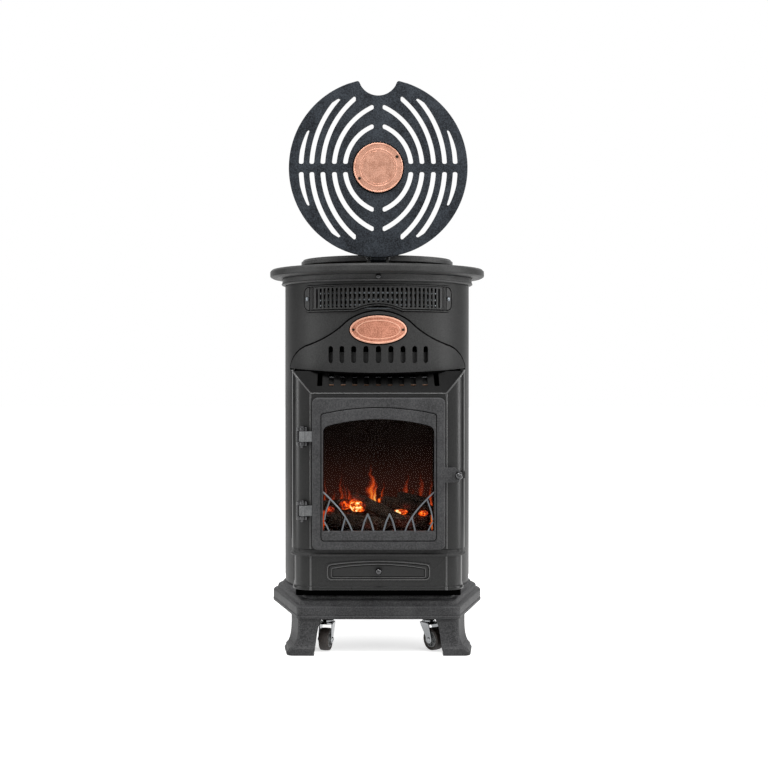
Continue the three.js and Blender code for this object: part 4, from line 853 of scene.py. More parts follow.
def flame_film():
    """A printed translucent film lit from behind: thin red and orange tongues that fade upwards
    into smoke-black, over a dull glow along the foot. Each tongue leans with a slow wave."""
    made = finish("flame_film", metallic=0.0, roughness=0.8, base_color=colour("#0d0908"))
    waver = made.new("ShaderNodeTexNoise", {"Vector": made.place, "Scale": 55.0, "Detail": 2.0})
    lean = made.new("ShaderNodeMapRange", {0: waver, 1: 0.3, 2: 0.7, 3: -4 * MM, 4: 4 * MM})
    place = made.new("ShaderNodeSeparateXYZ", {0: made.place}).outputs
    across = made.new("ShaderNodeMath", {0: place[0], 1: lean}, operation="ADD")
    light = None
    for x, foot, tip, half, strength in FLAMES:
        climb = made.new("ShaderNodeMapRange", {0: place[2], 1: foot * MM, 2: tip * MM, 3: 1.0,
                                                4: 0.0}, interpolation_type="SMOOTHSTEP")
        off = made.new("ShaderNodeMath", {0: across, 1: x * MM}, operation="SUBTRACT")
        off = made.new("ShaderNodeMath", {0: off}, operation="ABSOLUTE")
        wide = made.new("ShaderNodeMath", {0: climb, 1: 1.6 * half * MM}, operation="MULTIPLY")
        wide = made.new("ShaderNodeMath", {0: wide, 1: 0.2 * MM}, operation="ADD")
        inside = made.new("ShaderNodeMapRange", {0: off, 1: 0.0, 2: wide, 3: strength, 4: 0.0},
                          interpolation_type="SMOOTHSTEP")
        tongue = made.new("ShaderNodeMath", {0: inside, 1: climb}, operation="MULTIPLY")
        light = made.new("ShaderNodeMath", {0: light, 1: tongue}, operation="ADD") if light else tongue
    glow = made.new("ShaderNodeMapRange", {0: place[2], 1: 228 * MM, 2: 400 * MM, 3: 0.13, 4: 0.008},
                    interpolation_type="SMOOTHSTEP")
    smoke = made.new("ShaderNodeMapRange", {0: place[2], 1: 330 * MM, 2: 450 * MM, 3: 1.0, 4: 0.0})
    glow = made.new("ShaderNodeMath", {0: glow, 1: smoke}, operation="MULTIPLY")
    light = made.new("ShaderNodeMath", {0: light, 1: glow}, operation="ADD")
    lit_through(made, light, 1.6, {0.0: "#000000", 0.1: "#2a0f08", 0.3: "#7a2a14",
                                   0.6: "#e0521c", 0.85: "#ff9436", 1.0: "#ffd070"})
    return made.material


BASE_IRON = cast_iron("sand_cast_iron_base", "#4a4a4b", "#2a2a2b", 2.6, 0.5, 0.5)
TOP_IRON = cast_iron("sand_cast_iron_top", "#404040", "#2e2e2e", 1.9, 0.2, 0.44)
# A lighter copy of the top's iron on the collar and the hob: painted light, which brightens the collar
# where the rim shades it and stands in for the hob's bright reflections
HOB_IRON = cast_iron("sand_cast_iron_hob", "#565656", "#404040", 1.9, 0.2, 0.44)
DOOR_IRON = cast_iron("sand_cast_iron_door", "#4c4c4d", "#343435", 2.4, 0.4, 0.44)
TRIVET_IRON = cast_iron("sand_cast_iron_trivet", "#3a3f45", "#131417", 2.3, 0.45, 0.45)
HINGE_IRON = cast_iron("cast_iron_hinge", "#7a7b7c", "#58595a", 2.0, 0.3, 0.45)
DRUM_PAINT = sheet_paint("satin_paint_on_drum_sheet", "#3a3a3a", "#2c2c2c", 0.42)
BAY_PAINT = sheet_paint("satin_paint_on_bay_sheet", "#242424", "#191919", 0.3, 0.22)
# A darker copy of the bay's paint on the roof under the hood: painted shade for the hood's overhang
ROOF_PAINT = sheet_paint("satin_paint_on_roof_sheet", "#222222", "#181818", 0.36, 0.1)
# A lighter copy of the bay's paint on the beads, ribs, rolled edges and drawer lines: painted highlight
# along the relief
BEAD_PAINT = sheet_paint("satin_paint_burnished_on_beads", "#535353", "#424242", 0.28, 0.3)
DARK_SHEET = sheet_paint("black_paint_on_inner_sheet", "#171717", "#0f0f10", 0.62)
# Flat black with almost no gloss, for the pieces that stand for shade: painted shadow lines round parts,
# and gaps and recesses painted black
SHADOW_SHEET = sheet_paint("matt_stove_black_on_inner_sheet", "#070707", "#030303", 0.9, 0.004)
BADGE_COPPER = pressed_copper("pressed_copper_badge", "#bb826c", "#7c4a38")
MEDAL_COPPER = pressed_copper("pressed_copper_medallion", "#bd8f7b", "#9f6e59")
EDGE_COPPER = pressed_copper("polished_copper_edge", "#cf9f8a", "#b3806a")
FRET_STEEL = plated_steel("blued_steel_wire", "#63676b", 0.34, 0.08)
SCREW_STEEL = plated_steel("zinc_plated_steel", "#8d8f91", 0.32, 0.08)
FOIL = plated_steel("crumpled_reflector_foil", "#c9cbcd", 0.2, 0.08)
CHROME = plated_steel("chrome_plate", "#a2a4a6", 0.1, 0.05)
GLOSS_BLACK = plated_steel("black_nickel_plate", "#424243", 0.1, 0.04)
RIVET_STEEL = plated_steel("blackened_rivet", "#26241f", 0.4, 0.08)
# Warm brown on the deflector's lower edge: a painted reflection of the fire's glow
WARM_STEEL = plated_steel("heat_tinted_steel_edge", "#5a463a", 0.5, 0.08)
TYRE = moulded("tyre_rubber", "#2b211c", "#171210", 0.6)
HUB = moulded("grey_nylon_hub", "#8f9091", "#737475", 0.45)
NYLON = moulded("black_nylon", "#1b1b1c", "#121213", 0.5)
CERAMIC = moulded("heater_ceramic", "#5c5850", "#45423c", 0.8)
GLASS_PANE = smoked_glass()
EMBERS = burning("ember_resin", "#3a2218", "#120a07", 4.5, 2.2)
GLOWING = burning("glowing_coal_resin", "#8a4a34", "#2a0f08", 6.0, 2.8, 1.25)
LOG_BARK = burning("charred_log_ceramic", "#85756a", "#1e1815", 2.6, 1.8, 0.55)
FLAME = flame_film()

SLOTTED, QUARTERED, WIRES = slotted_tree(), quartered_tree(), wires_tree()
COPIES, COALS = copies_tree(), coals_tree()


# ---------------------------------------------------------------- plinth and legs
PLINTH_FRONT_HALF = 149
PLINTH_SIDE = 209
HEXAGON = [Vector(corner) for corner in (
    (-PLINTH_FRONT_HALF, PLINTH.y0), (PLINTH_FRONT_HALF, PLINTH.y0), (PLINTH_SIDE, 0),
    (PLINTH_FRONT_HALF, PLINTH.y1), (-PLINTH_FRONT_HALF, PLINTH.y1), (-PLINTH_SIDE, 0))]
# The plinth's moulding: height over its foot, and how far in from its edge
MOULDING = [
    (20, 6), (20, 4.5), (0, 4.5), (0, 1.6), (0.4, 0.6), (1.4, 0.1), (5.0, 0.1), (5.8, 0.7),
    (6.5, 1.3), (7.3, 1.0), (8.2, 0.6), (20.0, 0.6), (22.0, 1.3), (23.3, 2.8), (23.9, 5.0),
    (24.1, 7.2), (24.9, 8.5), (26.6, 9.1), (30.5, 9.5), (32.2, 10.6), (33.2, 12.6), (33.6, 15.2),
    (34.0, 17.6), (35.2, 19.0), (37.5, 19.5), (39.4, 20.4), (40.6, 22.2), (41.0, 25.0),
]
# Up the leg: height, how far in from the plinth's edge, its reach along the front and the side, and
# how far the foot's corner spreads sideways
LEG_STATIONS = [
    (0.0, -10.0, 38.0, 61.0, 7), (1.2, -12.0, 39.0, 62.0, 8.5), (5.5, -12.4, 39.4, 62.4, 9),
    (7.0, -11.6, 39.4, 62.0, 8.6), (9.2, -9.8, 39.2, 61.0, 7.6), (12.4, -9.4, 39.0, 60.6, 7),
    (14.0, -8.0, 38.0, 60.0, 5.6), (16.4, -5.0, 36.2, 59.0, 3), (17.0, -4.0, 35.9, 58.6, 2.4),
    (17.8, -4.2, 35.6, 58.4, 2.2), (21.0, -2.2, 35.2, 58.0, 1), (30.0, 0.8, 34.0, 57.4, 0),
    (40.0, 2.0, 34.6, 57.0, 0), (49.0, 2.4, 36.0, 57.4, 0), (55.0, 2.6, 37.8, 58.0, 0),
    (60.0, 2.7, 39.8, 58.6, 0), (64.7, 2.8, 42.3, 59.5, 0),
]
LEG_DEPTH = 14


def hexagon_corner(i, inset):
    """Directions along the two edges at a corner of the plinth, and the corner moved inwards."""
    ahead = (HEXAGON[(i + 1) % 6] - HEXAGON[i]).normalized()
    behind = (HEXAGON[i - 1] - HEXAGON[i]).normalized()
    shift = inset / abs(ahead.cross(behind))
    return ahead, behind, HEXAGON[i] + (ahead + behind) * shift


def hexagon(inset, reach, z):
    """The plinth's plan at a height, moved inwards, its corners rounded."""
    points = []
    for i in range(6):
        ahead, behind, corner = hexagon_corner(i, inset)
        points += bent(corner + behind * reach, corner, corner + ahead * reach)
    return [(x, y, z) for x, y in points]


def plinth():
    """The moulded casting: a lipped skirt, a cove and bead, and a narrower top, hollow underneath."""
    foot = PLINTH.z0
    rings = [hexagon(14, 9, foot + 32), hexagon(14, 9, foot + 20)]
    rings += [hexagon(inset, 13, foot + up) for up, inset in MOULDING]
    boss = turned(filleted(rectangle(6.2, 15, foot + 1, foot + 33), 1.5, 3), 40)
    return joined(skin(rings), *[moved(boss, *joint_point(f"castor_{corner}_swivel").xy)
                                 for corner in CORNERS])


def leg(side, end):
    """A corner leg: an angle in plan with a rounded nose, flaring out into a moulded foot."""
    rings = []
    for height, inset, front_reach, side_reach, spread in LEG_STATIONS:
        ahead, behind, corner = hexagon_corner(0, inset)
        inner = hexagon_corner(0, LEG_DEPTH)[2]
        front, flank = corner + ahead * front_reach, corner + behind * side_reach
        corner = corner - Vector((spread, 0))
        nose = bent(corner + behind * 9, corner, corner + ahead * 9)
        inward = Vector((behind.y, -behind.x)) * (LEG_DEPTH - inset)
        ring = [flank, *nose, front, Vector((front.x, inner.y)), inner, flank + inward]
        rings.append([(x * -side, min(max(y, -LEG_REACH), LEG_REACH) * -end, max(height, 0.06))
                      for x, y in ring])
    return soften(skin(rings), 1.6, angle=55)


piece("plinth_casting", plinth(), BASE_IRON, "base_plinth")
for name, (side, end) in CORNERS.items():
    piece(f"leg_casting_{name}", leg(side, end), BASE_IRON, f"leg_{name}")


# ---------------------------------------------------------------- castors
WHEEL_RADIUS = 21
CHEEK_IN = 10.6
CHEEK = 2.5
TRAIL = 15
FORK_TOP = 51


def castor_fork(axle):
    """A pressed fork with tapering cheeks, a ball race, the swivel stem and the axle's riveted
    ends."""
    out, top = CHEEK_IN + CHEEK, FORK_TOP
    side = filleted([(12, top, 3), (-14, top, 3), *arc(-TRAIL, axle, 7.5, 165, 375, 14)], 0)
    sides = cheeks(plate(side, thickness=CHEEK, rounding=0.7), -out, CHEEK_IN)
    crown = block(-out + 0.4, out - 0.4, -13.6, 11.6, top - 3.6, top, 1.2, 3)
    race = turned(filleted([
        (0, top - 1), (11.5, top - 1), (13, top + 1.2), (11, top + 2), (11, top + 3.2),
        (12.4, top + 4), (11.6, top + 6.2), (7, top + 7.4), (4.9, top + 8.6), (4.9, 90.6), (0, 90.6),
    ], 0.5, 2), 40)
    ends = rod((-out - 1.6, -TRAIL, axle), (out + 1.6, -TRAIL, axle), 4.2, 1.1, 24)
    pin = rod((-out - 2.2, -TRAIL, axle), (out + 2.2, -TRAIL, axle), 2.4, 0.6, 20)
    return joined(sides, crown, race, ends, pin)


def wheel_tyre(axle):
    """A solid tyre with rounded shoulders and a moulded line round its tread."""
    outer, line = WHEEL_RADIUS, WHEEL_RADIUS - 0.4
    tread = filleted([(14.6, -7.6, 0.6), (18.4, -9.6, 1.2), (line, -8.2, 2.4), (outer, -0.7),
                      (line, -0.3), (line, 0.3), (outer, 0.7), (line, 8.2, 2.4),
                      (18.4, 9.6, 1.2), (14.6, 7.6, 0.6)], 0, 4)
    return moved(lying(turned(tread, 72)), y=-TRAIL, z=axle)


def wheel_hub(axle):
    """The hub: a rim, a recessed web with six ribs, and a boss round the axle."""
    half = [(4.6, 9.4), (7.2, 9.4), (7.6, 5.2), (12.4, 5.2), (12.9, 8.4), (14.9, 8.4)]
    body = filleted([(r, -z) for r, z in half] + half[::-1], 0.4, 2)
    ribs = ringed(block(6.8, 13.2, -0.8, 0.8, -7.6, 7.6, 0.3), 6, HUB)
    return moved(lying(joined(turned(body, 60), ribs)), y=-TRAIL, z=axle)


for name, turn in (("front_left", -12), ("front_right", 37), ("rear_left", 160), ("rear_right", 205)):
    swivel, axle = joint_point(f"castor_{name}_swivel"), joint_point(f"castor_{name}_roll").z
    fork, tyre, hub = (moved(turned_by(shape(axle), turn), swivel.x, swivel.y)
                       for shape in (castor_fork, wheel_tyre, wheel_hub))
    piece(f"castor_fork_chromed_{name}", fork, CHROME, f"castor_fork_{name}",
          f"castor_{name}")
    piece(f"castor_tyre_{name}", tyre, TYRE, f"castor_wheel_{name}", f"wheel_{name}")
    piece(f"castor_hub_{name}", hub, HUB, body=f"wheel_{name}")


# ---------------------------------------------------------------- drum and top
VENT_Z = HOOD.z0 + 11
COVER_EDGE = along(math.degrees(math.asin(94 / RADIUS)))
SEAM = math.pi * RADIUS
# The hood's top line: its share of the hood's height at each angle from the centre
HOOD_LINE = [
    (0, 1), (8, 0.965), (16, 0.865), (22.3, 0.722), (28.6, 0.609), (35.4, 0.522), (42.7, 0.456),
    (46.8, 0.426), (51.5, 0.374), (56.8, 0.287), (60.5, 0.191), (62.7, 0.109),
]
# How far out from the drum's radius the hood's face, its badge and the outlet's foot stand
HOOD_STAND = 4.6
BADGE_STAND = 7.1
OUTLET_STAND = 0.3
OUTLET_HALF = along(50)
SLOTS_HALF = along(41.3)
ARCH_HALF = along(14)
ARCH_RISE = 10.0
# The openings cut in the drum's sheet: half widths and heights
VENT_HALF = 114
VENT_HEIGHT = 45
OUTLET_CUT = (-126, 126, 639, 681)
COVER_LOW, COVER_HIGH = 223, 616
GLAND_HOLE_Z, GLAND_HOLE_RADIUS = 164, 8.4
STUD_Z = 698


def drum_sheet():
    """The drum's sheet, cut flat with its openings and rolled, with a butted seam down the back."""
    side, low_side, above = along(66.5), along(62), LEDGE.z1 + 2
    half = [
        (VENT_HALF, VENT_Z + VENT_HEIGHT, 3), (VENT_HALF, VENT_Z, 3), (side, VENT_Z, 2),
        (side, above, 2),
        (low_side, above, 2), (low_side, DRUM.z0, 1), (SEAM, DRUM.z0, 0),
        *[(x, y, 0) for x, y in arc(SEAM, GLAND_HOLE_Z, GLAND_HOLE_RADIUS, -90, -270, 8)],
        (SEAM, COVER_LOW, 0), (SEAM - COVER_EDGE, COVER_LOW, 6),
        (SEAM - COVER_EDGE, COVER_HIGH, 6), (SEAM, COVER_HIGH, 0),
        (SEAM, DRUM.z1, 0), (0, DRUM.z1, 0),
    ]
    corners = half + [(-x, y, r) for x, y, r in reversed(half[:-1])]
    outlet = filleted(rectangle(*OUTLET_CUT), 4)
    flat = plate(filleted(corners), [outlet], thickness=SHEET, rounding=0.5, steps=2)
    return wrapped(flat, RADIUS - SHEET, 8)


def collar():
    """The collar with a rolled bead at its foot."""
    inner, foot, top = 176, COLLAR.z0, COLLAR.z1
    profile = [(inner, foot), (187.6, foot, 1), (190.9, foot + 1.9, 1.7), (189.2, foot + 4.6, 1.2),
               (188.6, foot + 8, 0), (188.8, top, 0.6), (inner, top)]
    return turned(filleted(profile, 0, 5), 192)


def collar_stud():
    """The domed stud on the collar's front."""
    stud = turned(filleted([(0, 0), (5, 0), (5.3, 3.4, 1), (3.8, 6.3, 2), (0, 6.9, 0)], 0, 5), 32)
    return moved(facing(stud), 0, -187.2, STUD_Z)


def top_rim():
    """The cast top: an overhanging rim with a soft nose, and a shallow slope up to the hob's seat."""
    low, ledge, high = TOP.z0, TOP.z0 + 18, TOP.z1
    profile = [
        (0, high - 8), (132, high - 8), (136, ledge - 8, 2), (174, ledge - 8), (176, low),
        (206, low, 3), (TOP.x1, low + 3.4, 3.4), (TOP.x1, ledge - 4.2, 3.6),
        (209.4, ledge - 0.4, 2.5), (204.5, ledge, 2), (143, ledge, 3), (138, high, 2.4), (0, high),
    ]
    return turned(filleted(profile, 0, 5), 220)


def hob_plate():
    """The round hob, with a notch at its front for the trivet's hinge and a chamfered rim."""
    radius, half, back = HOB.x1, 23, -131
    start = math.degrees(math.asin(half / radius))
    rim = arc(0, 0, radius, 270 - start, start - 90, 150)
    outline = filleted([(half, back, 3), (-half, back, 3), *rim])
    height = HOB.z1 - HOB.z0
    lower = plate(outline, thickness=height - 3.2, rounding=1.8, steps=4)
    upper = plate(drawn_in(outline, 3.4), thickness=height, rounding=1.4, steps=4)
    return moved(joined(lower, upper), z=HOB.z0)


def hood_outline():
    """The hood's outline: a lip that curls up at its ends, and the line over its top."""
    line = smoothed([(along(at), HOOD.z0 + share * HOOD_HEIGHT) for at, share in HOOD_LINE])
    end = line[-1][0]
    lip = [(end * k / 24, HOOD.z0 + 8.4 * (k / 24) ** 1.6) for k in range(25)]
    return both_sides(lip + line[::-1])


def hood_face():
    """The pressed hood: a slotted face that stands off the drum."""
    face = grown(drawing(*outlines(hood_outline())), SLOTTED, bevel=0.8, slot_width=9.2,
                 slot_height=32.0, pitch=along(7), count=9, row_height=HOOD.z0 + 34.0,
                 end_radius=4.55, thickness=2.4, material=DRUM_PAINT)
    return wrapped(face, RADIUS + HOOD_STAND, 7)


def hood_seal():
    """The black strip that carries the hood on the drum, and a black trim round the hood's edge that
    paints the shadow gap there as a dark line.
    """
    outline = hood_outline()
    # The outer wall is a painted shadow: a black trim standing round the hood's edge
    outside = wall(outline, -2.9, 0.3, 0.1, 6.3)
    under = wall(outline, -0.3, 2.8, 0.3, 5.2)
    return wrapped(joined(outside, under), RADIUS, 7)


def vent_baffle():
    """The plain sheet seen through the lower part of the hood's slots."""
    sheet = plate(rectangle(-112, 112, VENT_Z + 1, VENT_Z + 28), thickness=1.2, rounding=0.3, steps=1)
    return wrapped(sheet, RADIUS - 4, 8)


def badge():
    """A bare oval badge: a sunk stippled field, a raised border with a fine inner ring, and a black ring
    under it that paints the shadow round its edge."""
    ground = plate(oval(50.2, 25.3), thickness=1.1, rounding=0.4)
    border = plate(oval(51.2, 26.2), [oval(47.6, 22.6)], thickness=2.3, rounding=0.8)
    ring = plate(oval(39.8, 18.2), [oval(37.8, 16.4)], thickness=1.9, rounding=0.4)
    # A black ring wider than the badge, which paints the shadow round the badge's edge
    gasket = wall(oval(53.4, 28.4), 0, 4, 0.0, 0.4)
    return [wrapped(moved(shape, y=BADGE_Z), RADIUS + BADGE_STAND, 4)
            for shape in (ground, joined(border, ring), gasket)]


def badge_rivets():
    """The two rivets in the badge's border."""
    rivets = []
    for at in (math.degrees(x / RADIUS) for x in (-44.6, 44.6)):
        foot, head = (on_drum(RADIUS + BADGE_STAND + out, at, BADGE_Z) for out in (0.5, 3.1))
        rivets.append(rod(foot, head, 2.3, 1.0, 20))
    return joined(*rivets)


def arched_frame(half, low, high, corner):
    """A rectangle's outline whose foot rises in an arch at the middle."""
    foot = [(ARCH_HALF * k / 12, low + ARCH_RISE * (1 - (k / 12) ** 2)) for k in range(13)]
    right = filleted([(ARCH_HALF + 1, low), (half, low, corner), (half, high, corner), (0, high)],
                     0, closed=False, steps=6)
    return both_sides(foot + right[1:])


OUTLET_EDGE = arched_frame(OUTLET_HALF, GRILLE.z0, GRILLE.z1, 15)
OUTLET_BORDER = arched_frame(OUTLET_HALF - 1.4, GRILLE.z0 + 1.4, GRILLE.z1 - 1.4, 14)
SLOTS_BORDER = arched_frame(SLOTS_HALF, GRILLE.z0 + 5.2, GRILLE.z1 - 4.0, 2)
GRILLE_Z = (GRILLE.z0 + GRILLE.z1) / 2


def outlet_panel():
    """The warm air outlet: a cast frame with 29 upright slots standing on a low arch."""
    panel = grown(drawing(*outlines(OUTLET_EDGE)), SLOTTED, bevel=0.5, slot_width=4.3,
                  slot_height=37.0, count=29, pitch=along(2.75), row_height=GRILLE.z0 + 25.5,
                  end_radius=1.3, arch_rise=ARCH_RISE, arch_half=ARCH_HALF, thickness=2.2,
                  material=TOP_IRON)
    return wrapped(panel, RADIUS + OUTLET_STAND, 5)


def outlet_beads():
    """Raised lines on the outlet's frame: round the whole, round the slots, and beside each end
    tab."""
    lines = [tube([(x, y, 2.3) for x, y in outline], 1.0, 8, closed=True)
             for outline in (OUTLET_BORDER, SLOTS_BORDER)]
    lines += [tube([(side * along(43.2), z, 2.3) for z in (GRILLE.z0 + 1.6, GRILLE_Z, GRILLE.z1 - 1.6)],
                   0.9, 8) for side in SIDES]
    return wrapped(joined(*lines), RADIUS + OUTLET_STAND, 5)


def outlet_grooves():
    """Black strips that paint the shade in the outlet casting's grooves and round its edge: round the
    whole, round the slots, and beside each end tab."""
    lines = [wall(OUTLET_EDGE, -1.2, 0.6, -0.2, 0.4), wall(OUTLET_BORDER, 0.9, 2.5, 2.0, 2.35),
             wall(SLOTS_BORDER, -2.6, -0.9, 2.0, 2.35)]
    for middle in (side * along(44.3) for side in SIDES):
        lines.append(block(middle - 0.8, middle + 0.8, GRILLE.z0 + 4, GRILLE.z1 - 4, 2.0, 2.35, 0))
    return wrapped(joined(*lines), RADIUS + OUTLET_STAND, 5)


def outlet_screw(at):
    """A domed screw with a cross recess, through an end tab."""
    head = turned(filleted([(0, 0), (4.4, 0), (4.2, 1.3, 1), (2.6, 2.5, 1), (0.9, 2.8), (0.8, 1.6),
                            (0, 1.6)], 0, 4), 28)
    face = RADIUS + 2.6
    head = moved(turned_by(facing(head), at), *on_drum(face, at, GRILLE_Z))
    shank = rod(on_drum(RADIUS - 5, at, GRILLE_Z), on_drum(face + 0.5, at, GRILLE_Z), 1.9, 0.3, 16)
    return joined(head, shank)


piece("drum_rolled_sheet", drum_sheet(), DRUM_PAINT, "drum_shell")
piece("collar_casting", collar(), HOB_IRON, "collar_ring")
piece("collar_stud", collar_stud(), GLOSS_BLACK)
piece("top_casting", top_rim(), TOP_IRON, "top_plate")
piece("hob_casting", hob_plate(), HOB_IRON, "hob_disc", sharp=40)
piece("hood_pressing", hood_face(), DRUM_PAINT, "hood")
piece("hood_seal", hood_seal(), SHADOW_SHEET)
piece("hood_vent_baffle", vent_baffle(), DRUM_PAINT)
ground, border, gasket = badge()
piece("badge_plate", ground, BADGE_COPPER, "badge")
piece("badge_border", border, EDGE_COPPER)
piece("badge_gasket", gasket, SHADOW_SHEET)
piece("badge_rivets", badge_rivets(), RIVET_STEEL)
piece("outlet_casting", outlet_panel(), TOP_IRON, "outlet_grille")
piece("outlet_beads", outlet_beads(), TOP_IRON)
piece("outlet_grooves", outlet_grooves(), SHADOW_SHEET)
for name, at in (("left", -46.3), ("right", 46.3)):
    piece(f"outlet_screw_{name}", outlet_screw(at), FRET_STEEL, f"grille_screw_{name}")


# ---------------------------------------------------------------- fire bay
ROOF_RUN, ROOF_RISE = 71, 40
ROOF_LENGTH = math.hypot(ROOF_RUN, ROOF_RISE)
FOOT_INSET = 5
DEFLECTOR_DEPTH = 4.2


def bay_half(inset, steps=14):
    """Half of the bay's plan, from its right side at the back round to the flat front."""
    corner = arc(BAY_FLAT, BAY_CORNER - BAY_FRONT, BAY_CORNER - inset, 0, -90, steps)
    return [(BAY_SIDE - inset, BAY_BACK), (BAY_SIDE - inset, (BAY_BACK + corner[0][1]) / 2), *corner]


def round_bay(profile):
    """A profile of (inset, height) carried round the bay from side to side."""
    paths = [bay_half(inset) for inset, _ in profile]
    half = [[(*at, z) for at, (_, z) in zip(station, profile)] for station in zip(*paths)]
    return skin(half + [[(-x, y, z) for x, y, z in ring] for ring in reversed(half)])


def bay_slab(inset, low, high, front=-BAY_FRONT):
    """A slab with the bay's plan, cut off at its front."""
    half = [(x, max(y, front)) for x, y in bay_half(inset)]
    outline = half + [(-x, y) for x, y in reversed(half)]
    return skin([[(x, y, z) for x, y in outline] for z in (low, high)])


def corner_bars(y, low, high, radius, sides):
    """Upright round bars at the two corners of the bay's front."""
    return joined(*[tube([(side * BAY_FLAT, y, z) for z in (low, high)], radius, sides)
                    for side in SIDES])


def cheek_top(x):
    """Height of the pillars' upper edge, which climbs from the door to the bay's side."""
    return BAY_TOP + 1.2 * (min(x, BAY_SIDE) - BAY_FLAT)


def pillar():
    """A rounded corner sheet beside the door, its top cut on a slope."""
    rings = []
    for (x, y), (u, v) in zip(bay_half(0), bay_half(SHEET)):
        low, high = PILLAR.z0, cheek_top(x) - 0.8
        crest = [(t * x + (1 - t) * u, t * y + (1 - t) * v, high) for t in (0.7, 0.3)]
        rings.append([(x, y, low), (x, y, high - 0.6), *crest, (u, v, high - 0.6), (u, v, low)])
    return skin(rings)


def pillar_beads():
    """The rolled edge along a pillar's sloping top, and the upright bead beside the door."""
    edge = [(x - 0.2, y + 0.3, cheek_top(x) - 1.0) for x, y in bay_half(0.6)]
    bead = [(BAY_FLAT, -BAY_FRONT + 0.2, z) for z in (PILLAR.z0 + 1, 300, 400, BAY_TOP - 1.5)]
    return joined(tube(edge, 1.5, 10), tube(bead, 1.9, 12))


def on_slope(shape, depth=0.0):
    """A flat shape laid on the roof's slope: x across, y up the slope, z out from the sheet's inner
    face."""
    along_y, along_z = ROOF_RUN / ROOF_LENGTH, ROOF_RISE / ROOF_LENGTH
    sunk = SHEET + depth
    return mapped(shape, lambda x, s, t: (x, -BAY_FRONT + s * along_y - (t - sunk) * along_z,
                                          BAY_TOP + s * along_z + (t - sunk) * along_y))


def roof_baffle():
    """A deflector just behind the middle nine slots."""
    sheet = plate(rectangle(-104, 104, 37, 68), thickness=1.4, rounding=0.4, steps=2)
    return on_slope(sheet, DEFLECTOR_DEPTH)


def roof_baffle_edge(s):
    """The deflector's rolled edge, at a height up the slope."""
    return on_slope(tube([(x, s, 1.0) for x in (-103, 0, 103)], 1.5, 10), DEFLECTOR_DEPTH)


def bay_roof():
    """The slotted panel over the fire, sloping up and back under the hood, with a flat behind it."""
    half = [(BAY_FLAT - 0.3, 0), (BAY_FLAT, 2.4)]
    for x, y in arc(BAY_FLAT, BAY_CORNER - BAY_FRONT, BAY_CORNER - SHEET - 0.3, -84, 0, 10):
        half.append((x, (y + BAY_FRONT) * ROOF_LENGTH / ROOF_RUN))
    half.append((half[-1][0], ROOF_LENGTH))
    outline = [(0, 0), *half, (0, ROOF_LENGTH), *[(-x, s) for x, s in reversed(half)]]
    slope = grown(drawing(*outlines(outline)), SLOTTED, bevel=0.6, slot_width=9.4,
                  slot_height=51.0, pitch=21.8, count=11, row_height=52.0, end_radius=2.6,
                  thickness=float(SHEET), material=BAY_PAINT)
    high, front = BAY_TOP + ROOF_RISE, -BAY_FRONT
    rear = block(-158.7, 158.7, front + ROOF_RUN, BAY_BACK, high - SHEET, high, 0.4)
    lip = block(-BAY_FLAT + 0.3, BAY_FLAT - 0.3, front, front + SHEET, BAY_TOP - 2.2, BAY_TOP - 0.2,
                0.5)
    return joined(on_slope(slope), rear, lip)


def roof_roll():
    """The rolled edge along the roof's foot, over the door."""
    return tube([(x, -BAY_FRONT + 0.9, BAY_TOP - 0.6) for x in (-BAY_FLAT, 0, BAY_FLAT)], 1.5, 12)


def arched_panel(half, low, spring, rise, foot=3.0, head=8.0):
    """An upright outline with rounded corners and an arched head that springs at a height."""
    radius = (half ** 2 + rise ** 2) / (2 * rise)
    top = [(x, spring + rise - radius + math.sqrt(radius ** 2 - x ** 2))
           for x in (half * 0.78 * math.cos(math.pi * k / 16) for k in range(17))]
    return filleted([(-half, low, foot), (half, low, foot), (half, spring, head), *top,
                     (-half, spring, head)], steps=8)


def window(grow=0.0):
    """The door's window, or an outline that follows it further out."""
    return arched_panel(WINDOW_HALF + grow, WINDOW_Z - grow, WINDOW_SPRING + grow, WINDOW_RISE,
                        2 + grow, 13 + grow)


def door_surround():
    """The sheet behind the door, with the mouth of the fire."""
    half, mouth_half, low, high = 124.7, 104, 195, 479.7
    mouth = filleted(rectangle(-mouth_half, mouth_half, WINDOW_Z - 10, WINDOW_TOP + 12), 4)
    face = plate(rectangle(-half, half, low, high), [mouth], thickness=SHEET, rounding=0.5)
    return upright(face, -BAY_FRONT)


def mid_ledge():
    """The cast ledge under the door: a rounded bead standing proud, and a step that the pillars sit
    on."""
    low, high = LEDGE.z0, LEDGE.z1
    profile = filleted([(9, low), (-1.5, low, 1.2), (-3, low + 2.3, 2.2), (-2.2, low + 4.6, 1.6),
                        (1.0, low + 5.4, 1), (1.5, high, 1), (9, high)], 0, 5)
    cover = block(-BAY_FLAT - 24, BAY_FLAT + 24, -BAY_FRONT + 8, BAY_BACK, high - 4.4, high, 0.5)
    knuckles = corner_bars(LEDGE.y0 + 1.4, low + 0.8, low + 4.2, 2.5, 14)
    return joined(round_bay(profile), cover, knuckles)


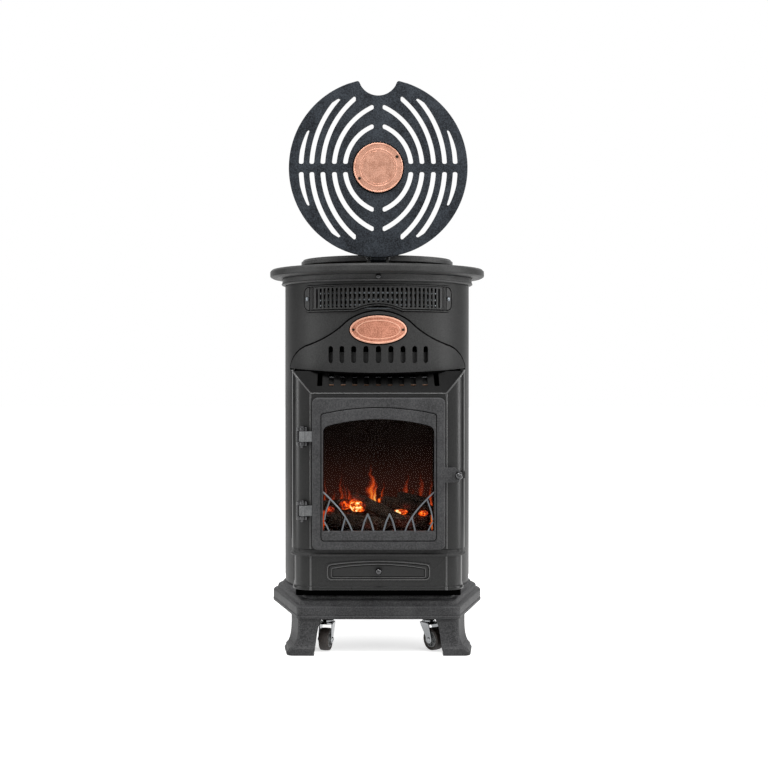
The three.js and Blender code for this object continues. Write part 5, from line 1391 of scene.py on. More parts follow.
def lower_front():
    """The bay's foot: a sheet front with the drawer's mouth, rounded corners and a bead round its
    foot. The bars at its corners are given apart."""
    low, high, front, inset = LOWER.z0, LOWER.z1, -BAY_FRONT + FOOT_INSET, FOOT_INSET
    mouth_half, sill, lintel = 90, 137, 166
    mouth = filleted(rectangle(-mouth_half, mouth_half, sill, lintel), 3)
    flat = plate(rectangle(-BAY_FLAT, BAY_FLAT, low, high), [mouth], thickness=SHEET, rounding=0.4)
    side = [[(x, y, low), (x, y, high), (u, v, high), (u, v, low)]
            for (x, y), (u, v) in zip(bay_half(inset), bay_half(inset + SHEET))]
    bead = filleted([(inset + 0.5, low, 0), (inset - 2.2, low, 1.2), (inset - 3, low + 3, 2.4),
                     (inset - 2.2, low + 6.4, 2), (inset + 0.5, low + 7.6, 0)], 0, 5)
    ribs = corner_bars(front + 0.3, low + 5, high - 0.3, 1.9, 12)
    knuckles = corner_bars(front - 1.6, low + 0.6, low + 6.4, 2.6, 14)
    panel = joined(upright(flat, front), mirrored(skin(side)), round_bay(bead))
    return panel, joined(ribs, knuckles)


def spacer():
    """The ring that carries the drum on the plinth, with a spigot inside the drum."""
    low, high, spigot = SPACER.z0, LOWER.z0, RADIUS - SHEET - 0.4
    foot, ring = 178.5, 182.4
    return turned(filleted([(0, low), (foot, low), (foot, low + 1.6), (ring, low + 2.2),
                            (ring, high - 0.3), (spigot, high + 0.2), (spigot, SPACER.z1),
                            (0, SPACER.z1)], 0.3, 2), 144)


def bay_stand():
    """The black stand under the bay, set well back, which paints the shadow under the bay, and the bay's
    floor.
    """
    high = LOWER.z0
    stand = bay_slab(7, SPACER.z0, high + 1, -186)
    return joined(stand, bay_slab(FOOT_INSET + SHEET + 0.1, high + 0.6, high + 2.4))


def bay_side_strips():
    """Black strips just inside the drum, which close the gap beside the bay and paint it as shade."""
    strip = block(along(65.3), along(70), LEDGE.z1 + 1, HOOD.z0 + 9, 0, 1.5, 0.3)
    return wrapped(mirrored(strip), RADIUS - 5.4, 8)


piece("pillar_sheet_right", pillar(), BAY_PAINT, "pillar_right")
left = mapped(pillar(), lambda x, y, z: (-x, y, z))
piece("pillar_sheet_left", left, BAY_PAINT, "pillar_left")
piece("pillar_beads", mirrored(pillar_beads()), BEAD_PAINT)
piece("bay_roof_panel", bay_roof(), ROOF_PAINT, "bay_roof")
piece("bay_roof_roll", roof_roll(), BEAD_PAINT)
piece("roof_baffle", roof_baffle(), BAY_PAINT)
piece("roof_baffle_lower_edge", roof_baffle_edge(38), WARM_STEEL)
piece("roof_baffle_upper_edge", roof_baffle_edge(67), SCREW_STEEL)
piece("door_surround_panel", door_surround(), BAY_PAINT, "door_surround")
piece("mid_ledge_casting", mid_ledge(), TOP_IRON, "mid_ledge")
panel, ribs = lower_front()
piece("lower_front_panel", panel, BAY_PAINT, "lower_front")
piece("lower_front_ribs", ribs, BEAD_PAINT)
piece("bay_side_strips", bay_side_strips(), SHADOW_SHEET)
piece("plinth_spacer_ring", spacer(), DRUM_PAINT, "plinth_spacer")
piece("bay_stand", bay_stand(), SHADOW_SHEET)


# ---------------------------------------------------------------- door
DOOR_FACE = DOOR.y0
DOOR_BACK = DOOR.y1 - 0.5
# Wires over the foot of the window: in from the window's side and up from its sill, in millimetres
FRET_WIRES = [
    [(0.6, 71), (2.2, 69.6), (13.4, 58.5), (28, 43), (39, 28.5), (48, 13), (54, -1.4)],
    [(12.5, 57), (9.2, 47), (6, 38), (4.0, 29), (2.6, 20)],
    [(2.2, 17), (6.6, 9.5), (12, -1.4)],
    [(41, 25), (37.6, 12), (34.5, -1.4)],
    [(82, 31), (75.8, 17), (71, -1.4)],
    [(82, 31), (88.2, 17), (93.2, -1.4)],
]
FRET_Y = (FRET.y0 + FRET.y1) / 2
PANEL_PROUD = 0.6


def door_casting():
    """The door: a soft-edged frame, and a slightly raised arched panel round the window with a rebate for
    the glass behind it. The black strip behind the gap round the panel, which paints the shade in that
    groove, is given apart."""
    thick = DOOR_BACK - DOOR_FACE
    edge = filleted(rectangle(-DOOR_HALF, DOOR_HALF, DOOR.z0, DOOR.z1), 11, 8)
    half, low, spring, rise = 104.8, 212.5, 443.2, 11.8
    panel = arched_panel(half, low, spring, rise, 5, 4)
    frame_part = plate(edge, [drawn_in(panel, -1.0)], thickness=thick, rounding=2.6, steps=6)
    panel_part = plate(panel, [window()], thickness=thick + PANEL_PROUD, rounding=1.15, steps=4)
    rebate = plate(window(12), [window(2)], thickness=3.2, rounding=0.4)
    # A black strip behind the gap round the panel: painted shade in the groove
    groove = upright(wall(panel, -3.2, 2.4, 0.0, 3.0), DOOR_FACE + 1.6)
    return joined(upright(frame_part, DOOR_FACE), upright(panel_part, DOOR_FACE - PANEL_PROUD),
                  upright(rebate, DOOR_BACK - 3.6)), groove


def door_straps():
    """The straps that reach from the door to its pins, each with its barrel."""
    straps = []
    for z in HINGE_HEIGHTS.values():
        strap = filleted([(HINGE.x, HINGE.y - 3), (3 - DOOR_HALF, HINGE.y - 3.4),
                          (6 - DOOR_HALF, HINGE.y + 3), (HINGE.x, HINGE.y + 3)], 0.4)
        straps.append(soften(skin([[(x, y, z + up) for x, y in strap] for up in (-9.3, 9.3)]), 0.7))
        barrel = turned(filleted(rectangle(3.3, 6, z - 9.5, z + 9.5), 0.8, 3), 32)
        straps.append(moved(barrel, HINGE.x, HINGE.y))
    return joined(*straps)


def latch_tab():
    """The tab on the door's edge that carries the latch."""
    x, z = LATCH.x, LATCH.z
    outline = filleted([(DOOR_HALF - 3, z - 13.6, 1), (x - 6, z - 13.6, 5), (x - 1, z - 8.5, 3),
                        *arc(x, z, 7.4, -70, 70, 10), (x - 1, z + 8.5, 3), (x - 6, z + 13.6, 5),
                        (DOOR_HALF - 3, z + 13.6, 1)])
    tab = plate(outline, [arc(x, z, 3.3, 0, 345, 23)], thickness=5.6, rounding=0.9, steps=4)
    return upright(tab, DOOR_FACE + 0.2)


def hinge_lug(z):
    """The bracket on the pillar: a ribbed lug above the strap and one below, joined by a spine."""
    x, y, back = HINGE.x, HINGE.y, -BAY_FRONT
    lugs = []
    for low in (z + 10.1, z - 17.1):
        for radius, across, deep in ((4.3, -6.2, 1.4), (4.6, 0, -0.6), (4.3, 6.2, 1.4)):
            lobe = turned(filleted(rectangle(0, radius, low, low + 7), 1.2, 3), 24)
            lugs.append(moved(lobe, x + across, y + deep))
        lugs.append(block(x - 6.6, x + 6.6, y + 0.5, back + 10.5, low + 0.4, low + 6.6, 0.8))
    return joined(*lugs, block(x - 10.8, x - 7, y + 1.5, back + 15, z - 16.6, z + 16.6, 1))


def hinge_pin(z):
    """A loose pin with a domed head."""
    stem = rod((HINGE.x, HINGE.y, z - 21), (HINGE.x, HINGE.y, z + 18), 3, 1.2, 24)
    head = turned(filleted([(0, z + 17.2), (4.8, z + 17.2), (4.6, z + 18.6, 1), (2.4, z + 19.6, 1),
                            (0, z + 19.8)], 0.3, 3), 28)
    return joined(stem, moved(head, HINGE.x, HINGE.y))


def fire_fret():
    """The guard of bent wires over the foot of the window, on a rail, with its two tips."""
    points, edges = [], []
    for wire in FRET_WIRES:
        line = smoothed(wire, 5) if len(wire) > 3 else wire
        start = len(points)
        points += [(WINDOW_HALF - inward, up, 0) for inward, up in line]
        edges += [(start + i, start + i + 1) for i in range(len(line) - 1)]
    wires = grown(drawing(points, edges), WIRES, wire_radius=1.55, material=FRET_STEEL)
    wires = mapped(wires, lambda x, y, z: (x, FRET_Y - z, WINDOW_Z + y))
    tips = [rod(*[(side * (WINDOW_HALF - 82), FRET_Y - 0.2, WINDOW_Z + up) for up in (29, 32.4)],
                1.7, 0.9, 12) for side in SIDES]
    rail = rod(*[(side * (WINDOW_HALF - 0.5), FRET_Y, WINDOW_Z - 1.4) for side in SIDES],
               1.1, 0.3, 12)
    return joined(wires, *tips, rail)


def latch_handle():
    """A turned ball with a finger bar through it, on a stepped collar, and the cam behind the tab."""
    x, z, grip = LATCH.x, LATCH.z, DOOR_FACE - 10.4
    knob = turned(filleted([(0, -8), (2.9, -8), (2.9, 0.3), (5.4, 0.3, 0.4), (5.4, 2.0, 0.6),
                            (3.4, 2.8, 0.5), (3.2, 4.2, 0.6), *ball(7.2, 10.4, 28, 171),
                            (2.4, 17.2, 0.4), (0, 17.4)], 0, 3), 40)
    bar = rod((x, grip, z - 11), (x, grip, z + 11), 1.5, 0.6, 16)
    ends = [rod((x, grip, z + side * 8.8), (x, grip, z + side * 11), 2.0, 0.9, 16) for side in SIDES]
    cam = block(x - 3, x + 3, DOOR_FACE + 9.4, DOOR_FACE + 12.4, z - 8, z + 3, 0.6)
    stem = rod((x, DOOR_FACE, z), (x, DOOR_FACE + 12.8, z), 2.9, 0.3, 20)
    return joined(moved(facing(knob), x, DOOR_FACE, z), bar, *ends, cam, stem)


casting, groove = door_casting()
piece("door_casting", joined(casting, latch_tab()), DOOR_IRON, "door_frame", "door")
piece("door_straps", door_straps(), HINGE_IRON, body="door")
piece("door_groove", groove, SHADOW_SHEET, body="door")
pane = upright(plate(window(5.6), thickness=4, rounding=0.4), GLASS.y0)
piece("door_pane", pane, GLASS_PANE, "door_glass", "door")
piece("fire_fret_wires", fire_fret(), FRET_STEEL, "fire_fret", "door")
for name, z in HINGE_HEIGHTS.items():
    piece(f"hinge_lugs_{name}", hinge_lug(z), GLOSS_BLACK, f"hinge_bracket_{name}")
    piece(f"hinge_pin_turned_{name}", hinge_pin(z), GLOSS_BLACK, f"hinge_pin_{name}")
piece("latch_handle", latch_handle(), GLOSS_BLACK, "latch_knob", "latch")


# ---------------------------------------------------------------- drawer
def drawer_face():
    """The ash drawer's pressed front, with an arched head; and apart, its two raised lines and the black
    strip inside each, which paints the shade beside it."""
    low, high = DRAWER.z0, DRAWER.z1
    face = plate(arched_panel(97, low, high - 7, 7, 4, 4), thickness=2.0, rounding=0.7, steps=4)
    outer = arched_panel(93.6, low + 3, high - 9.4, 6.6, 7, 7)
    inner = arched_panel(86, low + 6.6, high - 15.6, 7.4, 1.6, 1.6)
    lines = [tube([(x, y, 2.0) for x, y in outline], radius, 8, closed=True)
             for outline, radius in ((outer, 1.3), (inner, 0.95))]
    # Black strips inside the raised lines: painted shade
    grooves = joined(wall(outer, 1.3, 2.6), wall(inner, 0.9, 2.1))
    return (upright(face, DRAWER.y0 + 1.3), upright(joined(*lines), DRAWER.y0),
            upright(grooves, DRAWER.y0 + 1.15))


def drawer_ball():
    """The drawer's ball on a flared foot."""
    knob = turned(filleted([(0, 0), (4.2, 0), (3.4, 1.4, 0.6), (2.6, 3.4, 1),
                            *ball(6.3, 8.6, 26, 172), (0, 14.9)], 0, 3), 40)
    return moved(facing(knob), 0, DRAWER.y0 + 0.6, (KNOB.z0 + KNOB.z1) / 2)


face, lines, grooves = drawer_face()
piece("drawer_face", face, BAY_PAINT, "drawer_front", "drawer")
piece("drawer_lines", lines, BEAD_PAINT, body="drawer")
piece("drawer_grooves", grooves, SHADOW_SHEET, body="drawer")
piece("drawer_ball", drawer_ball(), GLOSS_BLACK, "drawer_knob", "drawer")


# ---------------------------------------------------------------- trivet
SLOT_FIELD, BAR_ACROSS, SLOT_HALF = 150.0, 7.5, 4.4
NOTCH_RADIUS, NOTCH_MIDDLE = 37.5, TRIVET_RADIUS + 5.6
# Each slot follows a circle: where it crosses the middle line and its radius, in slotted-field radii,
# and how far from the upright middle line it stops, in millimetres
TRIVET_ARCS = [(0.413, 0.565, 8.4), (0.55, 0.845, 8.4), (0.693, 1.133, 42), (0.831, 1.287, 70),
               (0.963, 1.463, 127)]


def slot_side(r, centre, bar):
    """One long side of a slot, as points on a circle, and whether it ends at the field's edge."""
    start, end = math.asin(BAR_ACROSS / r), math.acos((bar - centre) / r)
    x = (SLOT_FIELD ** 2 + centre ** 2 - r ** 2) / (2 * centre)
    at_edge = bar < x < SLOT_FIELD and math.acos((x - centre) / r) < end
    if at_edge:
        end = math.acos((x - centre) / r)
    gap = min(6.5, 0.3 * r * (end - start)) / r
    turns = [start, *[start + gap + (end - start - 2 * gap) * k / 14 for k in range(15)], end]
    return [(centre + r * math.cos(t), r * math.sin(t)) for t in turns], at_edge


def trivet_slot(crosses, curve, bar):
    """One slot of the upper right quarter, trimmed by the cross bars and the slotted field's edge."""
    radius = curve * SLOT_FIELD
    centre = crosses * SLOT_FIELD - radius
    outer, at_edge = slot_side(radius + SLOT_HALF, centre, bar)
    inner = slot_side(radius - SLOT_HALF, centre, bar)[0][::-1]
    edge = []
    a, b = (math.atan2(y, x) for x, y in (outer[-1], inner[0]))
    if at_edge and b - a > 0.06:
        turns = [a + (b - a) * k / 6 for k in range(1, 6)]
        edge = [(SLOT_FIELD * math.cos(t), SLOT_FIELD * math.sin(t), 0) for t in turns]
    round_end = 1.6 if at_edge else 3.6
    corners = [(*outer[0], 3.6), *[(*p, 0) for p in outer[1:-1]],
               (*outer[-1], 0 if edge else round_end), *edge, (*inner[0], round_end),
               *[(*p, 0) for p in inner[1:-1]], (*inner[-1], 3.6)]
    return filleted(corners, steps=5)


def trivet_disc():
    """The slotted disc, with a finger notch at its top."""
    y = (TRIVET_RADIUS ** 2 + NOTCH_MIDDLE ** 2 - NOTCH_RADIUS ** 2) / (2 * NOTCH_MIDDLE)
    edge = math.degrees(math.asin(y / TRIVET_RADIUS))
    inside = math.degrees(math.asin((y - NOTCH_MIDDLE) / NOTCH_RADIUS))
    rim = arc(0, 0, TRIVET_RADIUS, 180 - edge, 360 + edge, 150)
    bite = arc(0, NOTCH_MIDDLE, NOTCH_RADIUS, inside, -180 - inside, 30)
    outline = filleted([(*rim[0], 4.5), *[(*p, 0) for p in rim[3:-3]], (*rim[-1], 4.5),
                        *[(*p, 0) for p in bite[3:-3]]])
    quarter = drawing(*outlines(*[trivet_slot(*slot) for slot in TRIVET_ARCS]))
    disc = grown(drawing(*outlines(outline)), QUARTERED, bevel=0.9, quarter=quarter, thickness=7.0,
                 material=TRIVET_IRON)
    rub_out(quarter)
    return moved(upright(disc, MEDAL.y1 + 0.3), z=MEDAL_Z)


def trivet_knuckle():
    """The barrel under the disc that turns on the pin, and its web."""
    barrel = lying(turned(filleted(rectangle(3.3, 6.4, -14, 14), 0.8, 3), 36))
    y, z = LID_PIN.y, LID_PIN.z
    web = block(-13.6, 13.6, MEDAL.y1 + 6, y - 3.6, z - 2.4, z + 14, 1.4, 3)
    return joined(moved(barrel, 0, y, z), web)


def trivet_bracket():
    """Two rounded ears on a foot, which hold the trivet's pin."""
    y, z, foot = LID_PIN.y, LID_PIN.z, TOP.z0 + 18.3
    ear = filleted([(y - 6.4, foot, 0.5), (y + 5, foot, 0.5), (y + 5, z - 1, 1),
                    *arc(y - 0.7, z, 5.7, 10, 170, 12), (y - 6.4, z - 1, 1)])
    ears = cheeks(plate(ear, thickness=5.8, rounding=0.8), -20.5, 14.7)
    return joined(ears, block(-20.4, 20.4, y - 8, y + 5, foot, z - 7, 0.8, 3))


def ring_plate(outer, inner, height, rounding):
    """A flat ring with rounded edges."""
    return plate(oval(outer, outer, 120), [oval(inner, inner, 120)], thickness=height,
                 rounding=rounding)


def medallion():
    """A bare copper disc with a plain stippled field, its raised border and fine inner rings, and the
    black ring round it that paints the shadow at its edge."""
    disc = plate(oval(46.4, 46.4, 120), thickness=2.0, rounding=0.6)
    rings = joined(ring_plate(46.4, 43.6, 3.4, 0.9), ring_plate(35.6, 33.6, 2.9, 0.5),
                   ring_plate(31.0, 30.2, 2.5, 0.3))
    # The black ring round the medallion is a painted shadow
    seat = ring_plate(48.6, 44, 0.5, 0.1)
    return [moved(upright(shape, MEDAL.y1 - proud), z=MEDAL_Z)
            for shape, proud in ((disc, 2.0), (rings, 3.4), (seat, 0.2))]


def medallion_rivets():
    """The two rivets between the medallion's rings."""
    rivets = []
    for turn in (math.radians(30), math.radians(210)):
        x, z = 40.4 * math.cos(turn), MEDAL_Z + 40.4 * math.sin(turn)
        rivets.append(rod((x, MEDAL.y1 - 1.5, z), (x, MEDAL.y1 - 4.2, z), 2.7, 1.1, 20))
    return joined(*rivets)


piece("trivet_casting", joined(trivet_disc(), trivet_knuckle()), TRIVET_IRON, "trivet",
      "trivet_lid")
disc, rings, seat = medallion()
piece("medallion_disc", disc, MEDAL_COPPER, "trivet_medallion", "trivet_lid")
piece("medallion_rings", rings, EDGE_COPPER, body="trivet_lid")
piece("medallion_seat", seat, SHADOW_SHEET, body="trivet_lid")
piece("medallion_rivets", medallion_rivets(), RIVET_STEEL, body="trivet_lid")
piece("trivet_bracket_casting", trivet_bracket(), TOP_IRON, "trivet_hinge_bracket")
trivet_pin = rod(*[(side * 21.4, LID_PIN.y, LID_PIN.z) for side in SIDES], 2.9, 0.6, 24)
piece("trivet_pin_turned", trivet_pin, SCREW_STEEL, "trivet_hinge_pin")


# ---------------------------------------------------------------- fire
# Logs: the piece's name, the solid that it stands for, its two ends, its radius and its bark's seed
LOGS = [
    ("log_bark_back", "log_back", (-88, -97, 240), (88, -88, 240), 15.0, 1),
    ("log_bark_left", "log_left", (-98, -122, 241), (2, -160, 237), 14.6, 2),
    ("log_bark_right", "log_right", (98, -112, 240), (-2, -152, 234), 13.4, 3),
    ("log_bark_branch", "", (-50, -112, 281), (50, -160, 240), 12.0, 4),
    ("log_bark_upper_right", "", (6, -112, 272), (106, -108, 254), 12.2, 5),
    ("log_bark_upper_left", "", (-106, -100, 262), (-54, -96, 268), 10.5, 6),
    ("log_bark_top_right", "", (38, -96, 282), (100, -90, 268), 8.8, 7),
]
# Lumps of lit resin among the logs: middle, half sizes and seed
LUMPS = [
    ((-40, -122, 266), (20, 11, 13), 1), ((-64, -120, 267), (8.5, 8, 9.5), 2),
    ((8, -104, 265), (10, 8, 14), 3), ((42, -136, 255), (13, 7, 5), 4),
    ((86, -132, 252), (9, 7, 5), 5), ((-92, -116, 256), (9, 7, 7), 6),
]


def bark_log(start, end, radius, seed):
    """A charred log: a bent bar that tapers, with furrowed bark, a few knots and broken ends."""
    taper, sides, rings = 0.86, 40, 72
    start, end = Vector(start), Vector(end)
    length = (end - start).length
    ahead = (end - start).normalized()
    side = ahead.cross(Vector((0, 0, 1))).normalized()
    up = side.cross(ahead)
    shift = Vector((seed * 7.3, seed * 3.1, seed * 5.7))
    result = []
    for i in range(rings + 1):
        share = i / rings
        rise, sway = (noise.noise(Vector(at) + shift)
                      for at in ((share * 2.2, 0, 0), (0, share * 2.2, 9)))
        middle = start + ahead * length * share + (up * rise + side * sway) * 0.22 * radius
        shoulder = 0.72 + 0.28 * min(1.0, min(share, 1 - share) * length / 5)
        ring = []
        for x, y in oval(1, 1, sides):
            lump, furrow, grit = (
                noise.noise(Vector((fine * x, fine * y, share * length / stretch)) + shift)
                for fine, stretch in ((1.2, 30), (3.6, 26), (9, 4)))
            size = radius * (1 - (1 - taper) * share) * shoulder
            size *= 1 + 0.16 * lump - 0.9 * max(0.0, 0.16 - abs(furrow)) + 0.05 * grit
            broken = ahead * (3.0 * grit if i in (0, rings) else 0.0)
            ring.append(middle + (side * x + up * y) * size + broken)
        result.append(ring)
    return skin(result)


def resin_lump(at, size, seed):
    """A knobbly lump of clear resin in the shape of a glowing coal."""
    lump = bmesh.new()
    bmesh.ops.create_icosphere(lump, subdivisions=4, radius=1)
    shift = Vector((seed * 4.7, seed * 2.9, seed * 6.1))
    for vertex in lump.verts:
        swell = (1 + 0.34 * noise.noise(vertex.co * 1.7 + shift)
                 + 0.14 * noise.noise(vertex.co * 5 + shift))
        vertex.co = Vector(at) + Vector([c * s for c, s in zip(vertex.co, size)]) * swell
    return plain(lump)


def bed_height(x, y):
    """The height of the ember bed: a low mound that rises towards the back."""
    back = (y - BED.y0) / (BED.y1 - BED.y0)
    ripple = (noise.noise(Vector((x / 19, y / 19, 0.7)))
              + 0.5 * noise.noise(Vector((x / 7, y / 7, 3.1))))
    return BED.z1 - 6 - 8 * (x / BED.x1) ** 2 - 9 * (1 - back) + 3.0 * ripple


def ember_bed():
    """The bed: a rough closed mound with broken coals scattered over it."""
    across, deep = 52, 32
    xs = [BED.x0 + (BED.x1 - BED.x0) * i / across for i in range(across + 1)]
    ys = [BED.y0 + (BED.y1 - BED.y0) * j / deep for j in range(deep + 1)]
    rows = [[Vector((x, y, bed_height(x, y))) for x in xs] for y in ys]
    corners = [(j * (across + 1) + i, (j + 1) * (across + 1) + i)
               for j in range(deep) for i in range(across)]
    top = drawing([point for row in rows for point in row],
                  faces=[(a, a + 1, b + 1, b) for a, b in corners])
    mound = skin([[Vector((xs[0], y, BED.z0)), *row, Vector((xs[-1], y, BED.z0))]
                  for y, row in zip(ys, rows)])
    coals = grown(top, COALS, density=0.0055, coal_size=5.4, seed=11, material=EMBERS)
    side, front, back = FIREBOX.x1 - 14.5, FIREBOX.y0 + 6, BED.y1 + 3
    coals = mapped(coals, lambda x, y, z: (min(max(x, -side), side), min(max(y, front), back),
                                           max(z, BED.z0)))
    return joined(mound, coals)


for name, node, start, end, radius, seed in LOGS:
    piece(name, bark_log(start, end, radius, seed), LOG_BARK, node, sharp=50)
piece("ember_bed_coals", ember_bed(), EMBERS, "ember_bed", sharp=50)
lumps = joined(*[resin_lump(*lump) for lump in LUMPS])
piece("resin_embers", lumps, GLOWING, sharp=50)


# ---------------------------------------------------------------- works behind the fire and the outlet
def back_cover():
    """The access cover rolled to the drum's back: two rows of slots and a pressed line."""
    half, thickness = 108, 1.5
    outline = filleted(rectangle(-half, half, COVER.z0, COVER.z1), 8, 6)
    sheet = grown(drawing(*outlines(outline)), SLOTTED, bevel=0.35, slot_width=10.0,
                  slot_height=70.0, pitch=22.0, count=7, rows=2, row_height=COVER.z0 + 85,
                  row_step=151.0, end_radius=4.9, thickness=thickness, material=DRUM_PAINT)
    line = tube([(x, y, thickness) for x, y in drawn_in(outline, 17)], 0.9, 8, closed=True)
    return at_back(wrapped(joined(sheet, line), RADIUS + 0.3, 8))


def cover_baffle():
    """A black sheet just inside the cover, so that its slots show painted shade rather than the works or
    the fire.
    """
    sheet = block(-106, 106, COVER.z0 + 12, COVER.z1 - 12, 0, 1.2, 0.3)
    return at_back(wrapped(sheet, RADIUS - 13, 8))


def cover_screws():
    """Three pan-head screws down each side of the cover."""
    head = turned(filleted([(0, 0), (3.8, 0), (3.6, 1.4, 0.8), (1.7, 2.2, 0.8), (0, 2.3)], 0, 3), 20)
    column = grown(drawing(head[0], faces=head[1]), COPIES, count=3,
                   step=(0.0, (COVER.z1 - COVER.z0) / 2 - 10, 0.0), material=SCREW_STEEL)
    return at_back(wrapped(mirrored(moved(column, 99, COVER.z0 + 10)), RADIUS + 1.8, 60))


def gland():
    """A moulded gland for the lead: a flange, a six-sided nut and a ribbed dome round an open bore."""
    body = turned(filleted([(3.5, -6), (8, -6), (8, 2.3), (13, 2.3), (13, 4.6), (9, 4.8), (9, 10),
                            (8.6, 13), (7.2, 19.4), (3.5, 20)], 0.5, 3), 48)
    sections = []
    for turn in (TAU * k / 48 for k in range(48)):
        flat = 10.2 / math.cos(turn % (TAU / 6) - math.pi / 6)
        sections.append([(r * math.cos(turn), r * math.sin(turn), z)
                         for r, z in ((flat, 4.4), (flat, 11), (8.4, 11), (8.4, 4.4))])
    ribs = ringed(block(7.2, 9.2, -0.7, 0.7, 10.6, 18, 0.4), 12, NYLON)
    middle = (GLAND.z0 + GLAND.z1) / 2
    return mapped(joined(body, skin(sections, closed=True), ribs),
                  lambda x, y, z: (x, GLAND.y0 + 6 + z, middle + y))


def element_rails():
    """Two ceramic rails and their end plates, which carry the resistance wire."""
    box, low, high = ELEMENT, ELEMENT.z0 + 0.2, ELEMENT.z1 - 0.2
    rails = [block(box.x0 + 0.3, box.x1 - 0.3, box.y0 + 0.4, box.y1 - 0.4, z, z + 5, 0.8)
             for z in (low, high - 5)]
    ends = block(box.x1 - 6, box.x1 - 0.5, box.y0 + 1, box.y1 - 1, low, high, 0.8)
    return joined(*rails, mirrored(ends))


def element_wire():
    """Resistance wire strung up and down between the rails."""
    count, reach, middle = 52, ELEMENT.x1 - 9, (ELEMENT.y0 + ELEMENT.y1) / 2
    ends = (ELEMENT.z0 + 5.8, ELEMENT.z1 - 5.8)
    path = [(-reach + 2 * reach * i / (count - 1), middle, z)
            for i in range(count) for z in (ends if i % 2 else ends[::-1])]
    return tube(path, 0.9, 6)


def fan_blades():
    """A cross-flow rotor: curved blades between discs, on a shaft that runs to the motor."""
    reach = 96.5
    curve = [(14.6, -1.8), (17.0, 0.0), (19.6, 1.1), (22.4, 1.4)]
    section = curve + [(x, y - 0.8) for x, y in reversed(curve)]
    blade = skin([[(x, y, z) for x, y in section] for z in (-reach, reach)])
    disc = turned(filleted(rectangle(0, 23.2, -1, 1), 0.4, 2), 60)
    shaft = rod((0, 0, ROTOR.x0 + 0.3), (0, 0, ROTOR.x1 - 0.3), 2.9, 0.5, 20)
    rotor = joined(ringed(blade, 18, SCREW_STEEL), *[moved(disc, z=z) for z in (-reach, 0, reach)],
                   shaft)
    return moved(lying(rotor), *joint_point("fan_spin"))


piece("back_cover_sheet", back_cover(), DRUM_PAINT, "back_cover")
piece("back_cover_baffle", cover_baffle(), SHADOW_SHEET)
piece("back_cover_screws", cover_screws(), SCREW_STEEL)
piece("gland_moulding", gland(), NYLON, "cord_gland")
piece("element_rails", element_rails(), CERAMIC, "heating_element")
piece("element_wire", element_wire(), RIVET_STEEL)
piece("fan_blades", fan_blades(), SCREW_STEEL, "fan_rotor", "fan")
# CAD nodes that are kept as they are, and their finish
# The firebox and heater housing are black inside, given the flat painted-shadow black so that they read
# as plain shade through the window and the slots
KEPT_NODES = {
    "drawer_tray": DARK_SHEET, "firebox": SHADOW_SHEET, "heater_housing": SHADOW_SHEET,
    "fan_motor": DARK_SHEET, "flicker_motor": DARK_SHEET, "latch_keeper": BAY_PAINT,
    "element_guard": FRET_STEEL, "flicker_spindle": FOIL, "flame_screen": FLAME,
}
for node, look in KEPT_NODES.items():
    give(frame["nodes"][node], look)


# ---------------------------------------------------------------- camera, lights and floor
WHITE = (1, 1, 1, 1)

camera_data = bpy.data.cameras.new("camera")
camera_data.sensor_width, camera_data.lens = 36, 60.94
camera_data.shift_x, camera_data.shift_y = 0.0326, -0.0326
camera = placed("camera", camera_data)
camera.location = (-0.036, -2.6 + AXIS_Y, 0.545)
camera.rotation_euler = (math.pi / 2, 0, 0)
bpy.context.scene.camera = camera


def soft_box(name, at, toward, width, height, power):
    """A soft box: a rectangular lamp that faces a point."""
    lamp = bpy.data.lights.new(name, "AREA")
    lamp.shape, lamp.size, lamp.size_y, lamp.energy = "RECTANGLE", width, height, power
    made = placed(name, lamp)
    made.location = at
    made.rotation_euler = (Vector(toward) - Vector(at)).to_track_quat("-Z", "Y").to_euler()


def background_rays(new):
    """1 for the rays that show the white background: from the camera, off gloss and through glass."""
    path = new("ShaderNodeLightPath").outputs
    seen = path["Is Camera Ray"]
    for kind in ("Is Glossy Ray", "Is Transmission Ray"):
        seen = new("ShaderNodeMath", {0: seen, 1: path[kind]}, operation="MAXIMUM")
    return seen


def stage_sheet(name, corners, material):
    """A flat sheet of the studio, and what adds a node to its material."""
    mesh = bpy.data.meshes.new(name)
    mesh.from_pydata(corners, [], [(0, 1, 2, 3)])
    mesh.materials.append(bpy.data.materials.new(material))
    placed(name, mesh)
    return emptied(mesh.materials[0])


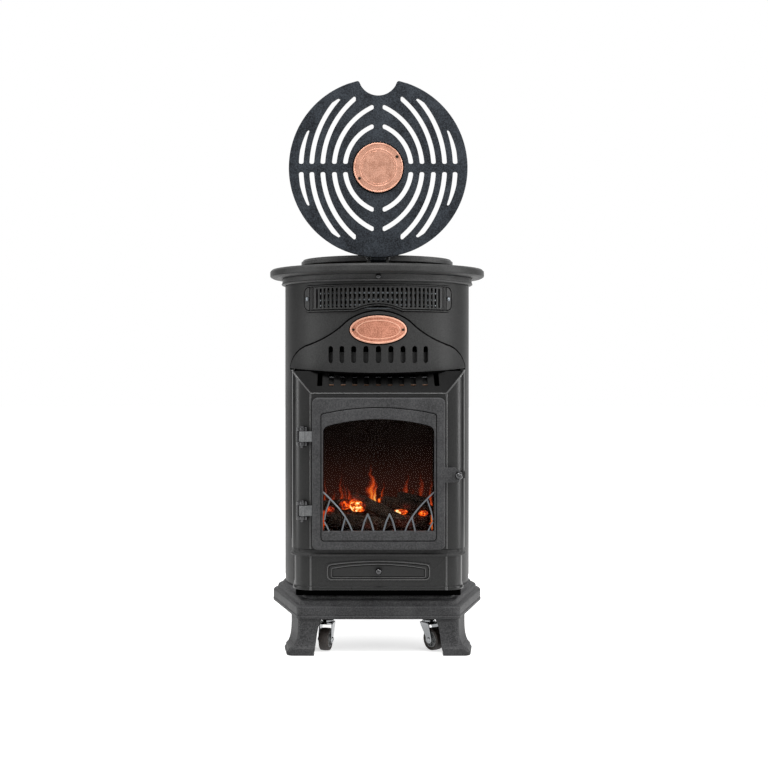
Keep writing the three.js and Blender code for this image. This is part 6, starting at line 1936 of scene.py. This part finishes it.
soft_box("strip_right", (2.25, -0.25, 0.9), (0, -0.1, 0.55), 0.5, 2.0, 32)
soft_box("strip_left", (-2.25, -0.25, 0.9), (0, -0.1, 0.55), 0.5, 2.0, 25)
soft_box("box_front", (1.9, -2.2, 2.2), (0, 0, 0.5), 1.4, 1.2, 46)
soft_box("box_top", (-0.3, -1.0, 3.0), (0, 0, 0.4), 1.8, 1.4, 78)

# A black card on each side, which the curved sheets mirror as a dark band. The camera sees through it
for side in SIDES:
    new = stage_sheet("black_flag", [(side * 1.4, y, z) for y, z in rectangle(0.2, 1.5, 0, 1.5)],
                      "black_felt")
    looking = new("ShaderNodeLightPath").outputs["Is Camera Ray"]
    black = new("ShaderNodeBsdfDiffuse", {"Color": colour("#050505")})
    clear = new("ShaderNodeBsdfTransparent")
    either = new("ShaderNodeMixShader", {0: looking, 1: black, 2: clear})
    new("ShaderNodeOutputMaterial", {"Surface": either})

# The studio: white where it is looked at, and a dimmer light on the stove
world = bpy.data.worlds.new("studio")
bpy.context.scene.world = world
new = emptied(world)
strength = new("ShaderNodeMapRange", {0: background_rays(new), 3: 0.26, 4: 1.0})
background = new("ShaderNodeBackground", {"Color": WHITE, "Strength": strength})
new("ShaderNodeOutputWorld", {"Surface": background})

# The paper on the floor: its diffuse part takes the stove's real shadow, and its white glow is dimmed in
# a band under the stove's front as a painted shadow, fading to full white further out
new = stage_sheet("floor", [(x, y, 0) for x, y in rectangle(-9, 9, -6, 12)], "white_paper_sweep")
band = new("ShaderNodeMapping", {"Vector": new("ShaderNodeTexCoord").outputs["Object"],
                                 "Location": (0, 0.66, 0), "Scale": (1, 5, 1)})
away = new("ShaderNodeVectorMath", {0: band}, operation="LENGTH").outputs["Value"]
far = new("ShaderNodeMapRange", {0: away, 1: 0.12, 2: 0.6, 3: 0.66, 4: 0.97})
glow = new("ShaderNodeMath", {0: far, 1: background_rays(new)}, operation="MULTIPLY")
lit = new("ShaderNodeBsdfDiffuse", {"Color": colour("#d9d9d8")})
white = new("ShaderNodeEmission", {"Color": WHITE, "Strength": glow})
new("ShaderNodeOutputMaterial", {"Surface": new("ShaderNodeAddShader", {0: lit, 1: white})})

bpy.context.scene.view_settings.view_transform = "Standard"
